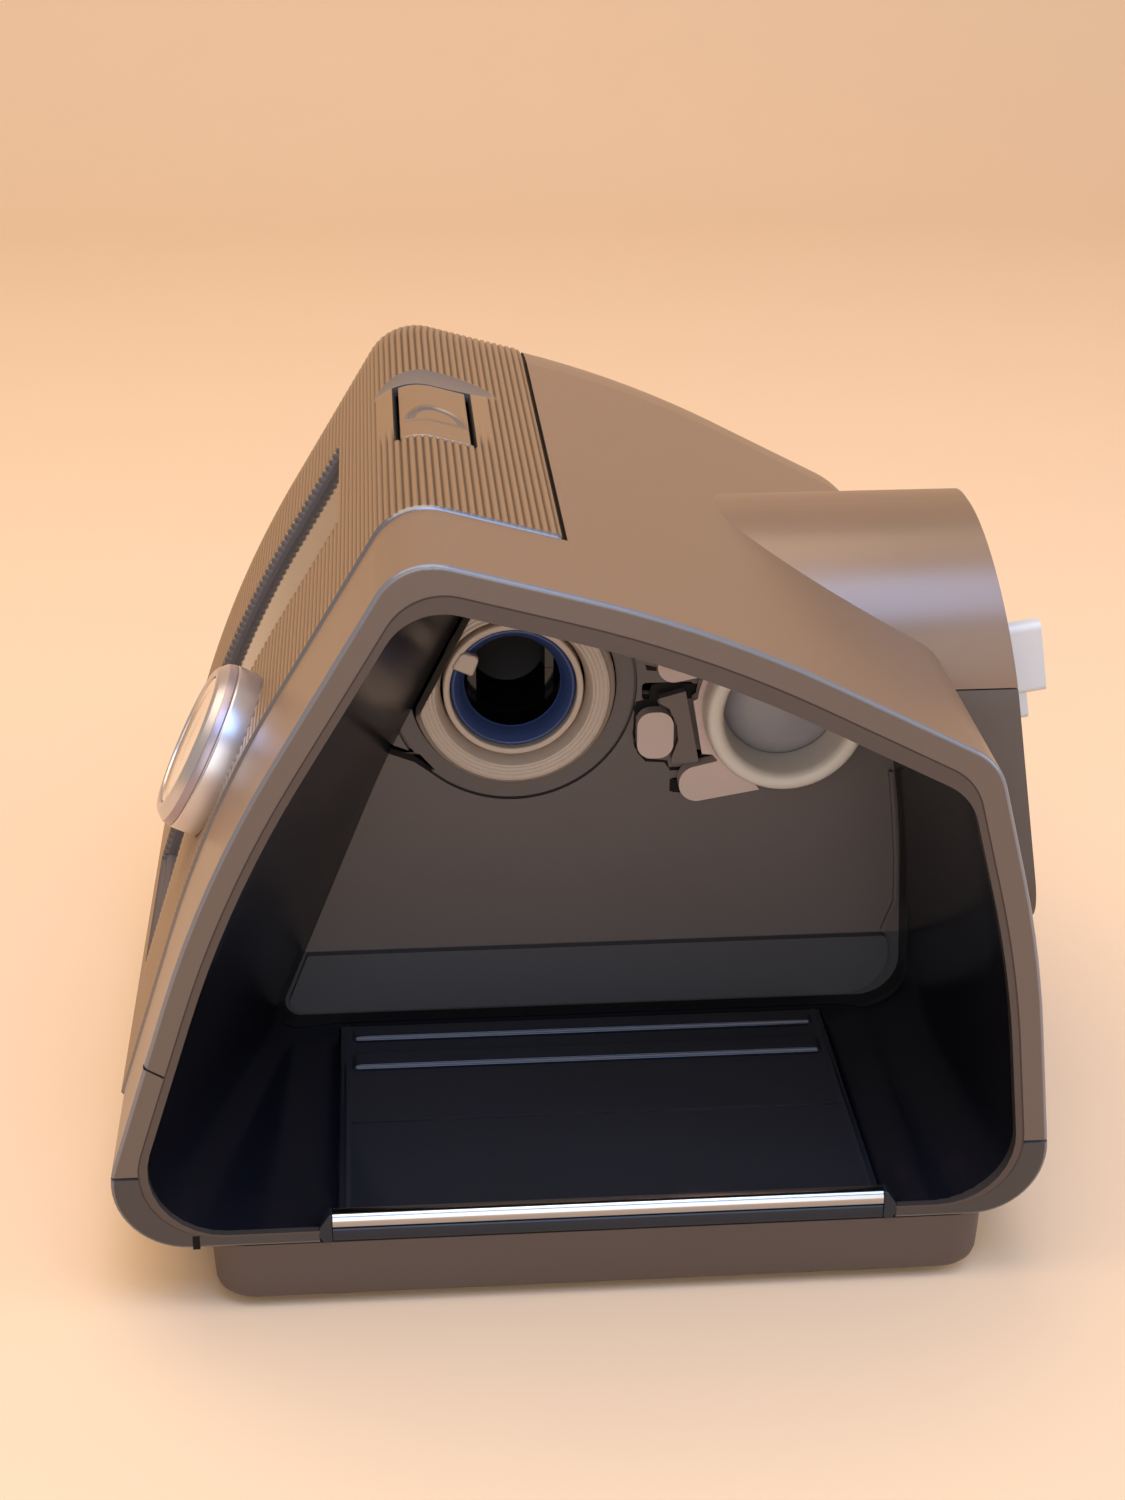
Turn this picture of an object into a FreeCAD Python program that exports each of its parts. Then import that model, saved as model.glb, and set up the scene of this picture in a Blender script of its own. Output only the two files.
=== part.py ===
"""Bedside airway pressure machine with an open side bay, as a parametric FreeCAD document.

Frame, in millimetres: +X points out of the open bay, -Y is the ribbed front, +Y is the rear with the
air outlet, +Z is up and the table is Z = 0.
"""
import FreeCAD, Part
import math
import os
import Sketcher
from FreeCAD import Placement, Rotation, Vector

doc = FreeCAD.newDocument("AirMachine")
sheet = doc.addObject("Spreadsheet::Sheet", "Sizes")

# ---------------------------------------------------------------------------------------------
# Driving dimensions: name, value, what it measures
# ---------------------------------------------------------------------------------------------
DRIVING = [
    ("rim_x", 85, "plane of the open bay end"),
    ("tray_z", 13.5, "underside of the bottom tray"),
    ("seam_z", 27.5, "top of the tray, where the casing starts"),
    ("front_low_y", -83.4, "front wall carried down to the underside"),
    ("front_mid_y", -60.8, "middle of the bowed front wall"),
    ("front_mid_z", 81.8, "height of that middle"),
    ("top_front_y", -28.1, "top front edge"),
    ("top_front_z", 135.2, "height of the top front edge"),
    ("top_mid_y", 19.7, "middle of the bowed roof"),
    ("top_mid_z", 122.0, "height of that middle"),
    ("rear_top_y", 65.3, "rear top edge"),
    ("rear_top_z", 98.2, "height of the rear top edge"),
    ("rear_mid_y", 74.2, "middle of the bowed rear wall"),
    ("rear_mid_z", 64.0, "height of that middle"),
    ("rear_low_y", 79.7, "rear wall carried down to the underside"),
    ("low_round", 12.5, "rounding of the two lower long edges"),
    ("bow", 200, "radius of the bowed walls"),
    ("top_round", 10, "rounding of the two upper long edges"),
    ("dome_start", -47, "where the far end starts to round"),
    ("dome_length", 38, "length of the rounded far end"),
    ("dome_inset", 22, "how far the far end draws in"),
    ("wall", 2.5, "wall of the casing and tray"),
    ("tray_wall", 2, "thickness of the tray's floor"),
    ("seam_gap", 0.6, "shadow gap at seams"),
    ("rim_width", 5, "width of the rim's end face"),
    ("rim_depth", 3, "thickness of the rim flange"),
    ("rim_sill", 2.5, "height of the rim along the bottom"),
    ("fit_gap", 0.3, "clearance between seated pieces"),
    ("plinth_near", 85, "near end of the plinth's top edge"),
    ("plinth_far", -76, "far end of the plinth's top edge"),
    ("plinth_front", -62, "front of the plinth's top edge"),
    ("plinth_rear", 66, "rear of the plinth's top edge"),
    ("plinth_draft", 4, "how far the plinth draws in towards the table"),
    ("plinth_round", 14, "corner radius of the plinth"),
    ("pad_height", 1.2, "thickness of the rubber mat under the plinth"),
    ("pad_margin", 8, "margin of the rubber mat inside the plinth"),
    ("screw_radius", 2.6, "radius of a screw head"),
    ("fascia_near", 59, "near edge of the ribbed fascia"),
    ("fascia_far", -69, "far edge of the ribbed fascia"),
    ("fascia_top_y", -2.4, "top edge of the ribbed fascia"),
    ("fascia_wall", 2.2, "thickness of the fascia"),
    ("fascia_sink", 0.4, "how far the fascia lies below the casing"),
    ("rib_pitch", 1.34, "spacing of the ribs"),
    ("groove_width", 0.5, "width of a groove between ribs"),
    ("groove_depth", 0.4, "depth of a groove between ribs"),
    ("channel_near", 21, "near wall of the display channel"),
    ("channel_far", -23, "far wall of the display channel"),
    ("channel_top", 119, "top of the display channel"),
    ("channel_low", 33, "bottom of the display channel"),
    ("channel_depth", 2.9, "depth of the glass below the casing's skin"),
    ("glass_wall", 1.4, "thickness of the display glass"),
    ("frame_wall", 1.0, "wall of the channel's lining"),
    ("button_mid_y", -21, "middle of the power button across the fascia"),
    ("button_width", 12.4, "width of the power button"),
    ("button_near", 20.5, "hinged end of the power button"),
    ("button_far", -12, "free end of the power button"),
    ("button_slot", 1.0, "slot beside and beyond the power button"),
    ("button_wall", 1.6, "thickness of the power button"),
    ("knob_x", 40, "knob axis along the machine"),
    ("knob_y", -57.1, "knob axis on the front wall"),
    ("knob_z", 82.8, "height of that point"),
    ("knob_tilt", 27, "how far the knob axis leans up"),
    ("knob_radius", 15, "radius of the knob's skirt"),
    ("knob_face_radius", 13.3, "radius of the knob's face ring"),
    ("knob_height", 9, "how far the knob stands out"),
    ("knob_travel", 0.8, "how far the knob presses in"),
    ("shaft_radius", 3, "radius of the encoder shaft"),
    ("shaft_slack", 0.05, "running clearance of turning shafts"),
    ("encoder_side", 12, "side of the square encoder"),
    ("encoder_height", 5, "height of the encoder"),
    ("board_wall", 1.6, "thickness of circuit boards"),
    ("bay_back_x", 15, "face of the bay's back panel"),
    ("panel_wall", 3, "thickness of the back panel"),
    ("liner_wall", 1.6, "wall of the bay liner"),
    ("bay_floor_z", 17.2, "floor of the bay"),
    ("bay_front_low_y", -53.5, "bay back corner, front and low"),
    ("bay_front_mid_y", -31.5, "bay back, middle of the front side"),
    ("bay_front_mid_z", 70.5, "height of that middle"),
    ("bay_front_top_y", -7, "bay back corner, front and top"),
    ("bay_front_top_z", 118, "height of that corner"),
    ("bay_top_mid_y", 22, "bay back, middle of the roof"),
    ("bay_top_mid_z", 110, "height of that middle"),
    ("bay_rear_top_y", 58, "bay back corner, rear and top"),
    ("bay_rear_top_z", 92, "height of that corner"),
    ("bay_rear_mid_y", 65, "bay back, middle of the rear side"),
    ("bay_rear_mid_z", 62, "height of that middle"),
    ("bay_rear_low_y", 67, "bay back corner, rear and low"),
    ("bay_round", 8, "corner radius inside the bay"),
    ("bay_foot_round", 3, "corner radius of the bay's back, front and low"),
    ("plate_near", 81, "near edge of the heater plate"),
    ("plate_far", 21, "far edge of the heater plate"),
    ("plate_front", -41.5, "front edge of the heater plate"),
    ("plate_rear", 50.5, "rear edge of the heater plate"),
    ("plate_wall", 2.4, "thickness of the heater plate"),
    ("plate_lift", 0.6, "height of the plate above the bay floor"),
    ("port_y", -7.8, "blower port axis across the machine"),
    ("port_z", 84.4, "height of the blower port axis"),
    ("port_bore", 8.7, "bore radius of the blue seal"),
    ("seal_radius", 11.5, "outer radius of the blue seal"),
    ("port_tube_radius", 12.8, "outer radius of the blower port tube"),
    ("port_flange_radius", 18.7, "outer radius of the blower port flange"),
    ("port_reach", 1.9, "how far the port tube stands into the bay"),
    ("port_ring_radius", 22.5, "radius of the groove round the flange"),
    ("return_y", 41.7, "return port axis across the machine"),
    ("return_bore", 9.6, "bore radius of the return port"),
    ("return_radius", 15, "outer radius of the silicone ring"),
    ("return_reach", 8.5, "how far the silicone ring stands into the bay"),
    ("duct_wall", 1.6, "wall of the outlet duct"),
    ("duct_x", 0.4, "axis of the outlet duct behind the return port"),
    ("outlet_lean", 9, "how far the outlet axis leans up"),
    ("outlet_radius", 11, "radius of the outlet cone, for a 22 mm hose"),
    ("collar_radius", 15.6, "outer radius of the outlet's collar"),
    ("collar_wall", 2.6, "thickness of the collar's disc"),
    ("grip_width", 11, "width of the collar's grip block"),
    ("boss_x", 10.4, "axis of the rear boss along the machine"),
    ("boss_radius", 30.3, "radius of the rear boss"),
    ("boss_z", 86.4, "height of the boss's axis"),
    ("boss_end_y", 79.9, "rear end of the boss at its axis"),
    ("boss_low_z", 42, "lowest point of the boss"),
    ("boss_seam_z", 92, "seam between casing and rear cover"),
    ("volute_radius", 30, "radius of the blower housing at its widest"),
    ("volute_height", 24, "height of the blower housing"),
    ("volute_x", -38, "blower axis along the machine"),
    ("volute_wall", 1.6, "wall of the blower housing"),
    ("eye_radius", 9, "radius of the blower's air eye"),
    ("impeller_radius", 23, "radius of the impeller"),
    ("blade_height", 9, "height of the impeller's blades"),
    ("motor_radius", 17, "radius of the motor"),
    ("motor_height", 20, "height of the motor"),
    ("spindle_radius", 1.5, "radius of the motor's shaft"),
    ("board_z", 22, "underside of the main board"),
    ("filter_x", -34, "middle of the air inlet along the machine"),
    ("filter_z", 60, "height of the middle of the air inlet"),
    ("filter_width", 20, "width of the filter door"),
    ("filter_height", 40, "height of the filter door"),
    ("filter_wall", 5, "thickness of the filter pad"),
]


class Size:
    """A number of the sheet, with the expression text that gives it there."""

    def __init__(self, value, text):
        self.value = float(value)
        self.text = text

    def __add__(self, other):
        return combine(self, "+", other)

    def __radd__(self, other):
        return combine(other, "+", self)

    def __sub__(self, other):
        return combine(self, "-", other)

    def __rsub__(self, other):
        return combine(other, "-", self)

    def __mul__(self, other):
        return combine(self, "*", other)

    def __rmul__(self, other):
        return combine(other, "*", self)

    def __truediv__(self, other):
        return combine(self, "/", other)

    def __neg__(self):
        return combine(0, "-", self)


def sized(item):
    """The item as a Size: plain numbers become their own text."""
    if isinstance(item, Size):
        return item
    return Size(item, "(%.9g)" % item)


def combine(left, sign, right):
    """The sum, difference, product or quotient of two sizes."""
    a = sized(left)
    b = sized(right)
    results = {
        "+": a.value + b.value,
        "-": a.value - b.value,
        "*": a.value * b.value,
        "/": a.value / b.value if b.value else 0.0,
    }
    return Size(results[sign], "(%s %s %s)" % (a.text, sign, b.text))


def root(item):
    return Size(math.sqrt(item.value), "sqrt(%s)" % item.text)


def sine(item):
    item = sized(item)
    return Size(math.sin(math.radians(item.value)), "sin(1deg * %s)" % item.text)


def cosine(item):
    item = sized(item)
    return Size(math.cos(math.radians(item.value)), "cos(1deg * %s)" % item.text)


class Sheet:
    """Each driving dimension as an attribute, such as size.wall."""


size = Sheet()
for row, (alias, value, meaning) in enumerate(DRIVING, start=1):
    sheet.set("A%d" % row, alias)
    sheet.set("B%d" % row, str(value))
    sheet.set("C%d" % row, meaning)
    sheet.setAlias("B%d" % row, alias)
    setattr(size, alias, Size(value, "Sizes." + alias))
doc.recompute()

# ---------------------------------------------------------------------------------------------
# Ways of making a piece
# ---------------------------------------------------------------------------------------------
PIECES = []
DEEP = 400.0


def new_body(name):
    body = doc.addObject("PartDesign::Body", name)
    body.Label = name
    PIECES.append(body)
    return body


def seat(body, x, y, z, lean=0):
    """Moves a finished body to its place, leaning it about X."""
    body.Placement = Placement(Vector(sized(x).value, sized(y).value, sized(z).value),
                               Rotation(Vector(1, 0, 0), sized(lean).value))
    body.setExpression("Placement.Base.x", sized(x).text)
    body.setExpression("Placement.Base.y", sized(y).text)
    body.setExpression("Placement.Base.z", sized(z).text)
    if sized(lean).value:
        body.setExpression("Placement.Rotation.Angle", sized(lean).text)


def sketch_on(body, plane, at=0):
    """An empty sketch on the body's own XY, XZ or YZ plane, moved along that plane's axis."""
    sketch = body.newObject("Sketcher::SketchObject", body.Name + "_sketch")
    origin = [item for item in body.Origin.OriginFeatures if item.Role == plane + "_Plane"][0]
    sketch.AttachmentSupport = [(origin, "")]
    sketch.MapMode = "FlatFace"
    shift = sized(at) * (-1 if plane == "XZ" else 1)
    sketch.AttachmentOffset = Placement(Vector(0, 0, shift.value), Rotation())
    sketch.setExpression("AttachmentOffset.Base.z", shift.text)
    return sketch


def bind(sketch, constraint, item):
    """Adds a constraint whose value follows a size."""
    index = sketch.addConstraint(Sketcher.Constraint(*(constraint + (sized(item).value,))))
    sketch.setExpression("Constraints[%d]" % index, sized(item).text)


def pin(sketch, geometry, point, place):
    """Binds one point of a sketch to its place."""
    bind(sketch, ("DistanceX", -1, 1, geometry, point), place[0])
    bind(sketch, ("DistanceY", -1, 1, geometry, point), place[1])


def unit(start, end):
    """Unit vector from start to end, as plain numbers."""
    dx = end[0] - start[0]
    dy = end[1] - start[1]
    length = math.hypot(dx, dy)
    return (dx / length, dy / length)


def corner_points(corners, radii):
    """For each corner, where its rounding starts and ends, its centre and its turn, as numbers."""
    spots = [(sized(c[0]).value, sized(c[1]).value) for c in corners]
    result = []
    for index, spot in enumerate(spots):
        radius = sized(radii[index]).value if radii[index] is not None else 0.0
        before = unit(spots[index - 1], spot)
        after = unit(spot, spots[(index + 1) % len(spots)])
        turn = math.atan2(before[0] * after[1] - before[1] * after[0],
                          before[0] * after[0] + before[1] * after[1])
        reach = radius * math.tan(abs(turn) / 2.0)
        entry = (spot[0] - before[0] * reach, spot[1] - before[1] * reach)
        leave = (spot[0] + after[0] * reach, spot[1] + after[1] * reach)
        side = 1.0 if turn > 0 else -1.0
        centre = (entry[0] - before[1] * radius * side, entry[1] + before[0] * radius * side)
        result.append((spot, entry, leave, centre, turn, radius))
    return result


def outline(sketch, corners, radii=None):
    """Draws a closed outline through the corners, each rounded by its radius or sharp for None."""
    if radii is None:
        radii = [None] * len(corners)
    if not isinstance(radii, (list, tuple)):
        radii = [radii] * len(corners)
    marks = corner_points(corners, radii)
    count = len(marks)
    lines = []
    for index in range(count):
        start = marks[index][2]
        end = marks[(index + 1) % count][1]
        line = Part.LineSegment(Vector(start[0], start[1], 0), Vector(end[0], end[1], 0))
        lines.append(sketch.addGeometry(line, False))
    for index in range(count):
        spot, entry, leave, centre, turn, radius = marks[index]
        before = lines[index - 1]
        after = lines[index]
        if not radius:
            sketch.addConstraint(Sketcher.Constraint("Coincident", before, 2, after, 1))
            pin(sketch, after, 1, corners[index])
            continue
        circle = Part.Circle(Vector(centre[0], centre[1], 0), Vector(0, 0, 1), radius)
        first = entry if turn > 0 else leave
        last = leave if turn > 0 else entry
        start_angle = math.atan2(first[1] - centre[1], first[0] - centre[0])
        end_angle = math.atan2(last[1] - centre[1], last[0] - centre[0])
        arc = sketch.addGeometry(Part.ArcOfCircle(circle, start_angle, end_angle), False)
        mark = sketch.addGeometry(Part.Point(Vector(spot[0], spot[1], 0)), True)
        entry_end = 1 if turn > 0 else 2
        sketch.addConstraint(Sketcher.Constraint("Tangent", before, 2, arc, entry_end))
        sketch.addConstraint(Sketcher.Constraint("Tangent", arc, 3 - entry_end, after, 1))
        sketch.addConstraint(Sketcher.Constraint("PointOnObject", mark, 1, before))
        sketch.addConstraint(Sketcher.Constraint("PointOnObject", mark, 1, after))
        bind(sketch, ("Radius", arc), radii[index])
        pin(sketch, mark, 1, corners[index])


def circle(sketch, x, y, radius):
    """Draws a circle whose centre and radius follow the sheet."""
    centre = Vector(sized(x).value, sized(y).value, 0)
    index = sketch.addGeometry(Part.Circle(centre, Vector(0, 0, 1), sized(radius).value), False)
    bind(sketch, ("Radius", index), radius)
    pin(sketch, index, 3, (x, y))


def rectangle(x0, x1, y0, y1):
    return [(x0, y0), (x1, y0), (x1, y1), (x0, y1)]


def feature(body, kind, name, sketch):
    item = body.newObject("PartDesign::" + kind, body.Name + "_" + name)
    item.Profile = sketch
    sketch.Visibility = False
    return item


def pad(body, sketch, length):
    """Adds material along the sketch's normal."""
    item = feature(body, "Pad", "pad", sketch)
    item.Length = abs(sized(length).value)
    item.setExpression("Length", sized(length).text)
    return item


def cut(body, sketch, length=DEEP):
    """Removes material along the sketch's normal, and checks that it did."""
    doc.recompute()
    before = body.Shape.Volume
    item = feature(body, "Pocket", "cut", sketch)
    item.Reversed = True
    item.Length = sized(length).value
    item.setExpression("Length", sized(length).text)
    doc.recompute()
    if body.Shape.Volume > before - 1e-3:
        raise RuntimeError("a cut in %s removed nothing" % body.Label)
    return item


def turn(body, sketch, remove=False):
    """Revolves the sketch about its own upright axis."""
    item = feature(body, "Groove" if remove else "Revolution", "turn", sketch)
    item.ReferenceAxis = (sketch, ["V_Axis"])
    item.Angle = 360
    return item


def loft(body, sketches, remove=False, ruled=True):
    """Joins sections by a skin, adding or removing the solid between them."""
    kind = "SubtractiveLoft" if remove else "AdditiveLoft"
    item = feature(body, kind, "loft", sketches[0])
    item.Sections = sketches[1:]
    item.Ruled = ruled
    for sketch in sketches:
        sketch.Visibility = False
    return item


def round_edges(body, radius, test, kind="Fillet"):
    """Rounds the edges of the body so far that pass a test."""
    doc.recompute()
    names = ["Edge%d" % (i + 1) for i, edge in enumerate(body.Shape.Edges) if test(edge)]
    if not names:
        raise RuntimeError("no edge to round on %s" % body.Label)
    before = body.Tip
    item = body.newObject("PartDesign::" + kind, body.Name + "_round")
    item.Base = (before, names)
    prop = "Radius" if kind == "Fillet" else "Size"
    setattr(item, prop, sized(radius).value)
    item.setExpression(prop, sized(radius).text)
    body.Tip = item
    doc.recompute()
    return item


def block(name, x, y, z, radius=None):
    """A box between pairs of X, Y and Z, with rounded upright edges."""
    body = new_body(name)
    sketch = sketch_on(body, "XY", z[0])
    outline(sketch, rectangle(x[0], x[1], y[0], y[1]), radius)
    pad(body, sketch, sized(z[1]) - z[0])
    return body


def inset(corners, steps):
    """Moves each edge of a counter-clockwise outline inwards by its own step."""
    count = len(corners)
    if not isinstance(steps, (list, tuple)):
        steps = [steps] * count
    result = []
    for index in range(count):
        here = corners[index]
        before = corners[index - 1]
        after = corners[(index + 1) % count]
        ux, uy = direction(before, here)
        vx, vy = direction(here, after)
        cross = ux * vy - uy * vx
        x = here[0] + (steps[index - 1] * vx - steps[index] * ux) / cross
        y = here[1] + (steps[index - 1] * vy - steps[index] * uy) / cross
        result.append((x, y))
    return result


def direction(start, end):
    """Unit vector between two places, as sizes."""
    dx = sized(end[0]) - start[0]
    dy = sized(end[1]) - start[1]
    length = root(dx * dx + dy * dy)
    return dx / length, dy / length


# ---------------------------------------------------------------------------------------------
# The casing's outline, seen from the open end: Y to the right, Z up
# ---------------------------------------------------------------------------------------------
SKIN = [
    (size.front_low_y, size.tray_z),
    (size.rear_low_y, size.tray_z),
    (size.rear_mid_y, size.rear_mid_z),
    (size.rear_top_y, size.rear_top_z),
    (size.top_mid_y, size.top_mid_z),
    (size.top_front_y, size.top_front_z),
    (size.front_mid_y, size.front_mid_z),
]
SKIN_ROUNDS = [size.low_round, size.low_round, size.bow, size.top_round, size.bow, size.top_round, size.bow]
SIDES = 6


def skin_inset(step, floor=None):
    """The casing's outline moved in by a step, with its own step along the floor."""
    floor = step if floor is None else floor
    return inset(SKIN, [floor] + [step] * SIDES)


def skin_sketch(body, at, step, floor=None):
    sketch = sketch_on(body, "YZ", at)
    outline(sketch, skin_inset(sized(step), sized(step if floor is None else floor)), SKIN_ROUNDS)
    return sketch


DOME_TURNS = (0, 30, 55, 75, 90)


def dome_sketches(body, step, floor):
    """Sections of the rounded far end, which follow a quarter ellipse."""
    result = []
    for angle in DOME_TURNS:
        at = size.dome_start - (size.dome_length - step) * sine(angle)
        draw_in = size.dome_inset * (1 - cosine(angle)) + step
        result.append(skin_sketch(body, at, draw_in, floor))
    return result
def keep(body, x=None, y=None, z=None):
    """Trims the body to a box; a side given as None stays open."""
    for plane, pair in (("YZ", x), ("XZ", y), ("XY", z)):
        if pair is None:
            continue
        for level, outer in ((pair[0], True), (pair[1], False)):
            if level is None:
                continue
            start = sized(level) - DEEP if outer else sized(level)
            if plane == "XZ":
                start = sized(level) if outer else sized(level) + DEEP
            sketch = sketch_on(body, plane, start)
            outline(sketch, rectangle(-DEEP, DEEP, -DEEP, DEEP))
            cut(body, sketch)


def strip(name, x, outer, inner):
    """A band of the skin between two insets, from one X to another."""
    body = new_body(name)
    length = sized(x[1]) - x[0]
    pad(body, skin_sketch(body, x[0], outer), length)
    cut(body, skin_sketch(body, x[0], inner), length)
    return body


BOSS_CREST = 3
BOSS_ROOT_Y = 5
BOSS_SPARE = 12


def boss_outline(step):
    """The rear boss seen from behind, moved in by a step: X to the right, Z up."""
    left = size.boss_x - size.boss_radius + step
    right = size.boss_x + size.boss_radius - step
    low = size.boss_low_z + step
    top = size.boss_z + size.boss_radius - step
    corner = size.boss_radius - step - BOSS_CREST / 2
    return rectangle(left, right, low, top), [size.low_round, size.low_round, corner, corner]


def boss_sketch(body, at, step):
    sketch = sketch_on(body, "XZ", at)
    corners, radii = boss_outline(sized(step))
    outline(sketch, corners, radii)
    return sketch


LEAN_SLOPE = sine(size.outlet_lean) / cosine(size.outlet_lean)


def end_y(z, step=0):
    """Y of the boss's leaning end at a height, moved in by a step."""
    return size.boss_end_y - (sized(z) - size.boss_z) * LEAN_SLOPE - sized(step) / cosine(size.outlet_lean)


def lean_cut(body, step=0):
    """Cuts off what lies beyond the boss's leaning end."""
    sketch = sketch_on(body, "YZ", -DEEP / 2)
    low = (end_y(0, step), 0)
    high = (end_y(DEEP / 2, step), DEEP / 2)
    outline(sketch, [low, (DEEP / 2, 0), (DEEP / 2, DEEP / 2), high])
    cut(body, sketch)


def fill(body, near, step, floor):
    """The solid inside the skin moved in by a step, from the domed far end to a plane near the open end."""
    pad(body, skin_sketch(body, size.dome_start, step, floor), near - size.dome_start)
    doc.recompute()
    loft(body, dome_sketches(body, sized(step), sized(floor)), ruled=False)
    doc.recompute()


def hollow(body, near, step, floor):
    """Removes the same kind of solid."""
    cut(body, skin_sketch(body, size.dome_start, step, floor), near - size.dome_start)
    loft(body, dome_sketches(body, sized(step), sized(floor)), remove=True, ruled=False)
    doc.recompute()


def open_rim(body):
    """Opens the near end inside its rim."""
    cut(body, skin_sketch(body, size.dome_start, size.rim_width, size.rim_sill))


def band(name, near, outer, inner):
    """The skin between two insets, with its domed far end."""
    body = new_body(name)
    fill(body, sized(near), outer, outer)
    hollow(body, sized(near), inner, inner)
    return body


def hollow_casing(body):
    """The whole casing with its domed far end and rear boss, hollow and open at the near end."""
    fill(body, size.rim_x, 0, 0)
    reach = size.boss_end_y + BOSS_SPARE
    pad(body, boss_sketch(body, reach, 0), reach - BOSS_ROOT_Y)
    lean_cut(body)
    hollow(body, size.rim_x - size.rim_depth, size.wall, size.tray_wall)
    boss_cavity(body)
    open_rim(body)


def boss_cavity(body):
    """Hollows the boss up to its leaning end wall."""
    sketch = sketch_on(body, "YZ", size.boss_x - size.boss_radius + size.wall)
    low = size.boss_low_z + size.wall
    high = size.boss_z
    outline(sketch, [(BOSS_ROOT_Y, low), (end_y(low, size.wall), low),
                     (end_y(high, size.wall), high), (BOSS_ROOT_Y, high)])
    cut(body, sketch, 2 * (size.boss_radius - size.wall))
    sketch = boss_sketch(body, end_y(size.boss_z + size.boss_radius, size.wall), size.wall)
    cut(body, sketch, end_y(size.boss_z + size.boss_radius, size.wall) - BOSS_ROOT_Y)


HOLE_START = 10


def outlet_hole(body, radius, start=HOLE_START):
    """Cuts a round hole inwards along the outlet axis, from a distance beyond the boss's end."""
    sketch = sketch_on(body, "XZ")
    lean = size.outlet_lean
    start = sized(start)
    y = size.boss_end_y + start * cosine(lean)
    z = size.boss_z + start * sine(lean)
    sketch.AttachmentOffset = Placement(Vector(size.boss_x.value, z.value, -y.value),
                                        Rotation(Vector(1, 0, 0), lean.value))
    sketch.setExpression("AttachmentOffset.Base.x", size.boss_x.text)
    sketch.setExpression("AttachmentOffset.Base.y", z.text)
    sketch.setExpression("AttachmentOffset.Base.z", (-y).text)
    sketch.setExpression("AttachmentOffset.Rotation.Angle", lean.text)
    circle(sketch, 0, 0, radius)
    cut(body, sketch, 2 * HOLE_START)


def outlet_seat(body):
    """The stepped hole that the hose port snaps into."""
    outlet_hole(body, size.collar_radius + size.fit_gap)
    outlet_hole(body, size.collar_radius + PORT_LIP + size.fit_gap, -size.wall)


PORT_LIP = 1.6


SEAM = size.seam_z + size.seam_gap
COVER_X = (size.boss_x - size.boss_radius, size.boss_x + size.boss_radius)
COVER_TOP = size.boss_seam_z
REAR_SIDE_Y = 50
FILTER_X = (size.filter_x - size.filter_width / 2, size.filter_x + size.filter_width / 2)
FILTER_Z = (size.filter_z - size.filter_height / 2, size.filter_z + size.filter_height / 2)


def rear_window(body, x, z):
    """Cuts a rectangular window through the rear wall."""
    sketch = sketch_on(body, "XZ", DEEP / 2)
    outline(sketch, rectangle(x[0], x[1], z[0], z[1]))
    cut(body, sketch, DEEP / 2 - REAR_SIDE_Y)


RIM_ROUND = 0.8


def within(corners, spot):
    """True where a spot lies inside a counter-clockwise outline without notches."""
    for index in range(len(corners)):
        start = corners[index]
        end = corners[(index + 1) % len(corners)]
        if (end[0] - start[0]) * (spot[1] - start[1]) < (end[1] - start[1]) * (spot[0] - start[0]):
            return False
    return True


def soften_rim(body):
    """Rounds the outer edge of the rim's end face."""
    middle = [(y.value, z.value) for y, z in skin_inset(size.rim_width * 0.3, size.rim_sill * 0.3)]

    def outer(edge):
        ends = [vertex.Point for vertex in edge.Vertexes]
        at_rim = all(end.x > size.rim_x.value - 0.01 for end in ends)
        return at_rim and not any(within(middle, (end.y, end.z)) for end in ends)

    round_edges(body, RIM_ROUND, outer)


def main_casing():
    body = new_body("main_casing")
    hollow_casing(body)
    keep(body, z=(SEAM, None))
    front = sketch_on(body, "YZ", size.fascia_far - size.fit_gap)
    outline(front, rectangle(-DEEP / 2, size.fascia_top_y + 2 * size.seam_gap, 0, DEEP / 2))
    cut(body, front, size.fascia_near - size.fascia_far + 2 * size.fit_gap)
    rear_window(body, (COVER_X[0] - size.fit_gap, COVER_X[1] + size.fit_gap), (0, COVER_TOP))
    rear_window(body, FILTER_X, FILTER_Z)
    outlet_seat(body)
    soften_rim(body)


def rear_cover():
    body = new_body("rear_cover")
    hollow_casing(body)
    keep(body, x=COVER_X, y=(REAR_SIDE_Y, None), z=(SEAM, COVER_TOP - size.seam_gap / 2))
    outlet_seat(body)
    hole = sketch_on(body, "XZ", DEEP / 2)
    circle(hole, INLET_X, INLET_Z, INLET_RADIUS + size.fit_gap)
    cut(body, hole, DEEP / 2 - REAR_SIDE_Y)


SCREWS = [(-50, -46), (-50, 46), (5, -46), (5, 46)]
POST = 4
POST_HEIGHT = 6
SHANK = 1.5
BOARD_POSTS = [(-56, -32), (-56, 36), (-4, -32), (-4, 36)]
BOARD_POST = 3
FLOOR_Z = size.tray_z + size.tray_wall
INLET_X = -4
INLET_Z = 37
INLET_RADIUS = 6
WELL_EDGE = 2.6


def plate_window(margin):
    return rectangle(size.plate_far - margin, size.plate_near + margin,
                     size.plate_front - margin, size.plate_rear + margin)


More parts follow.
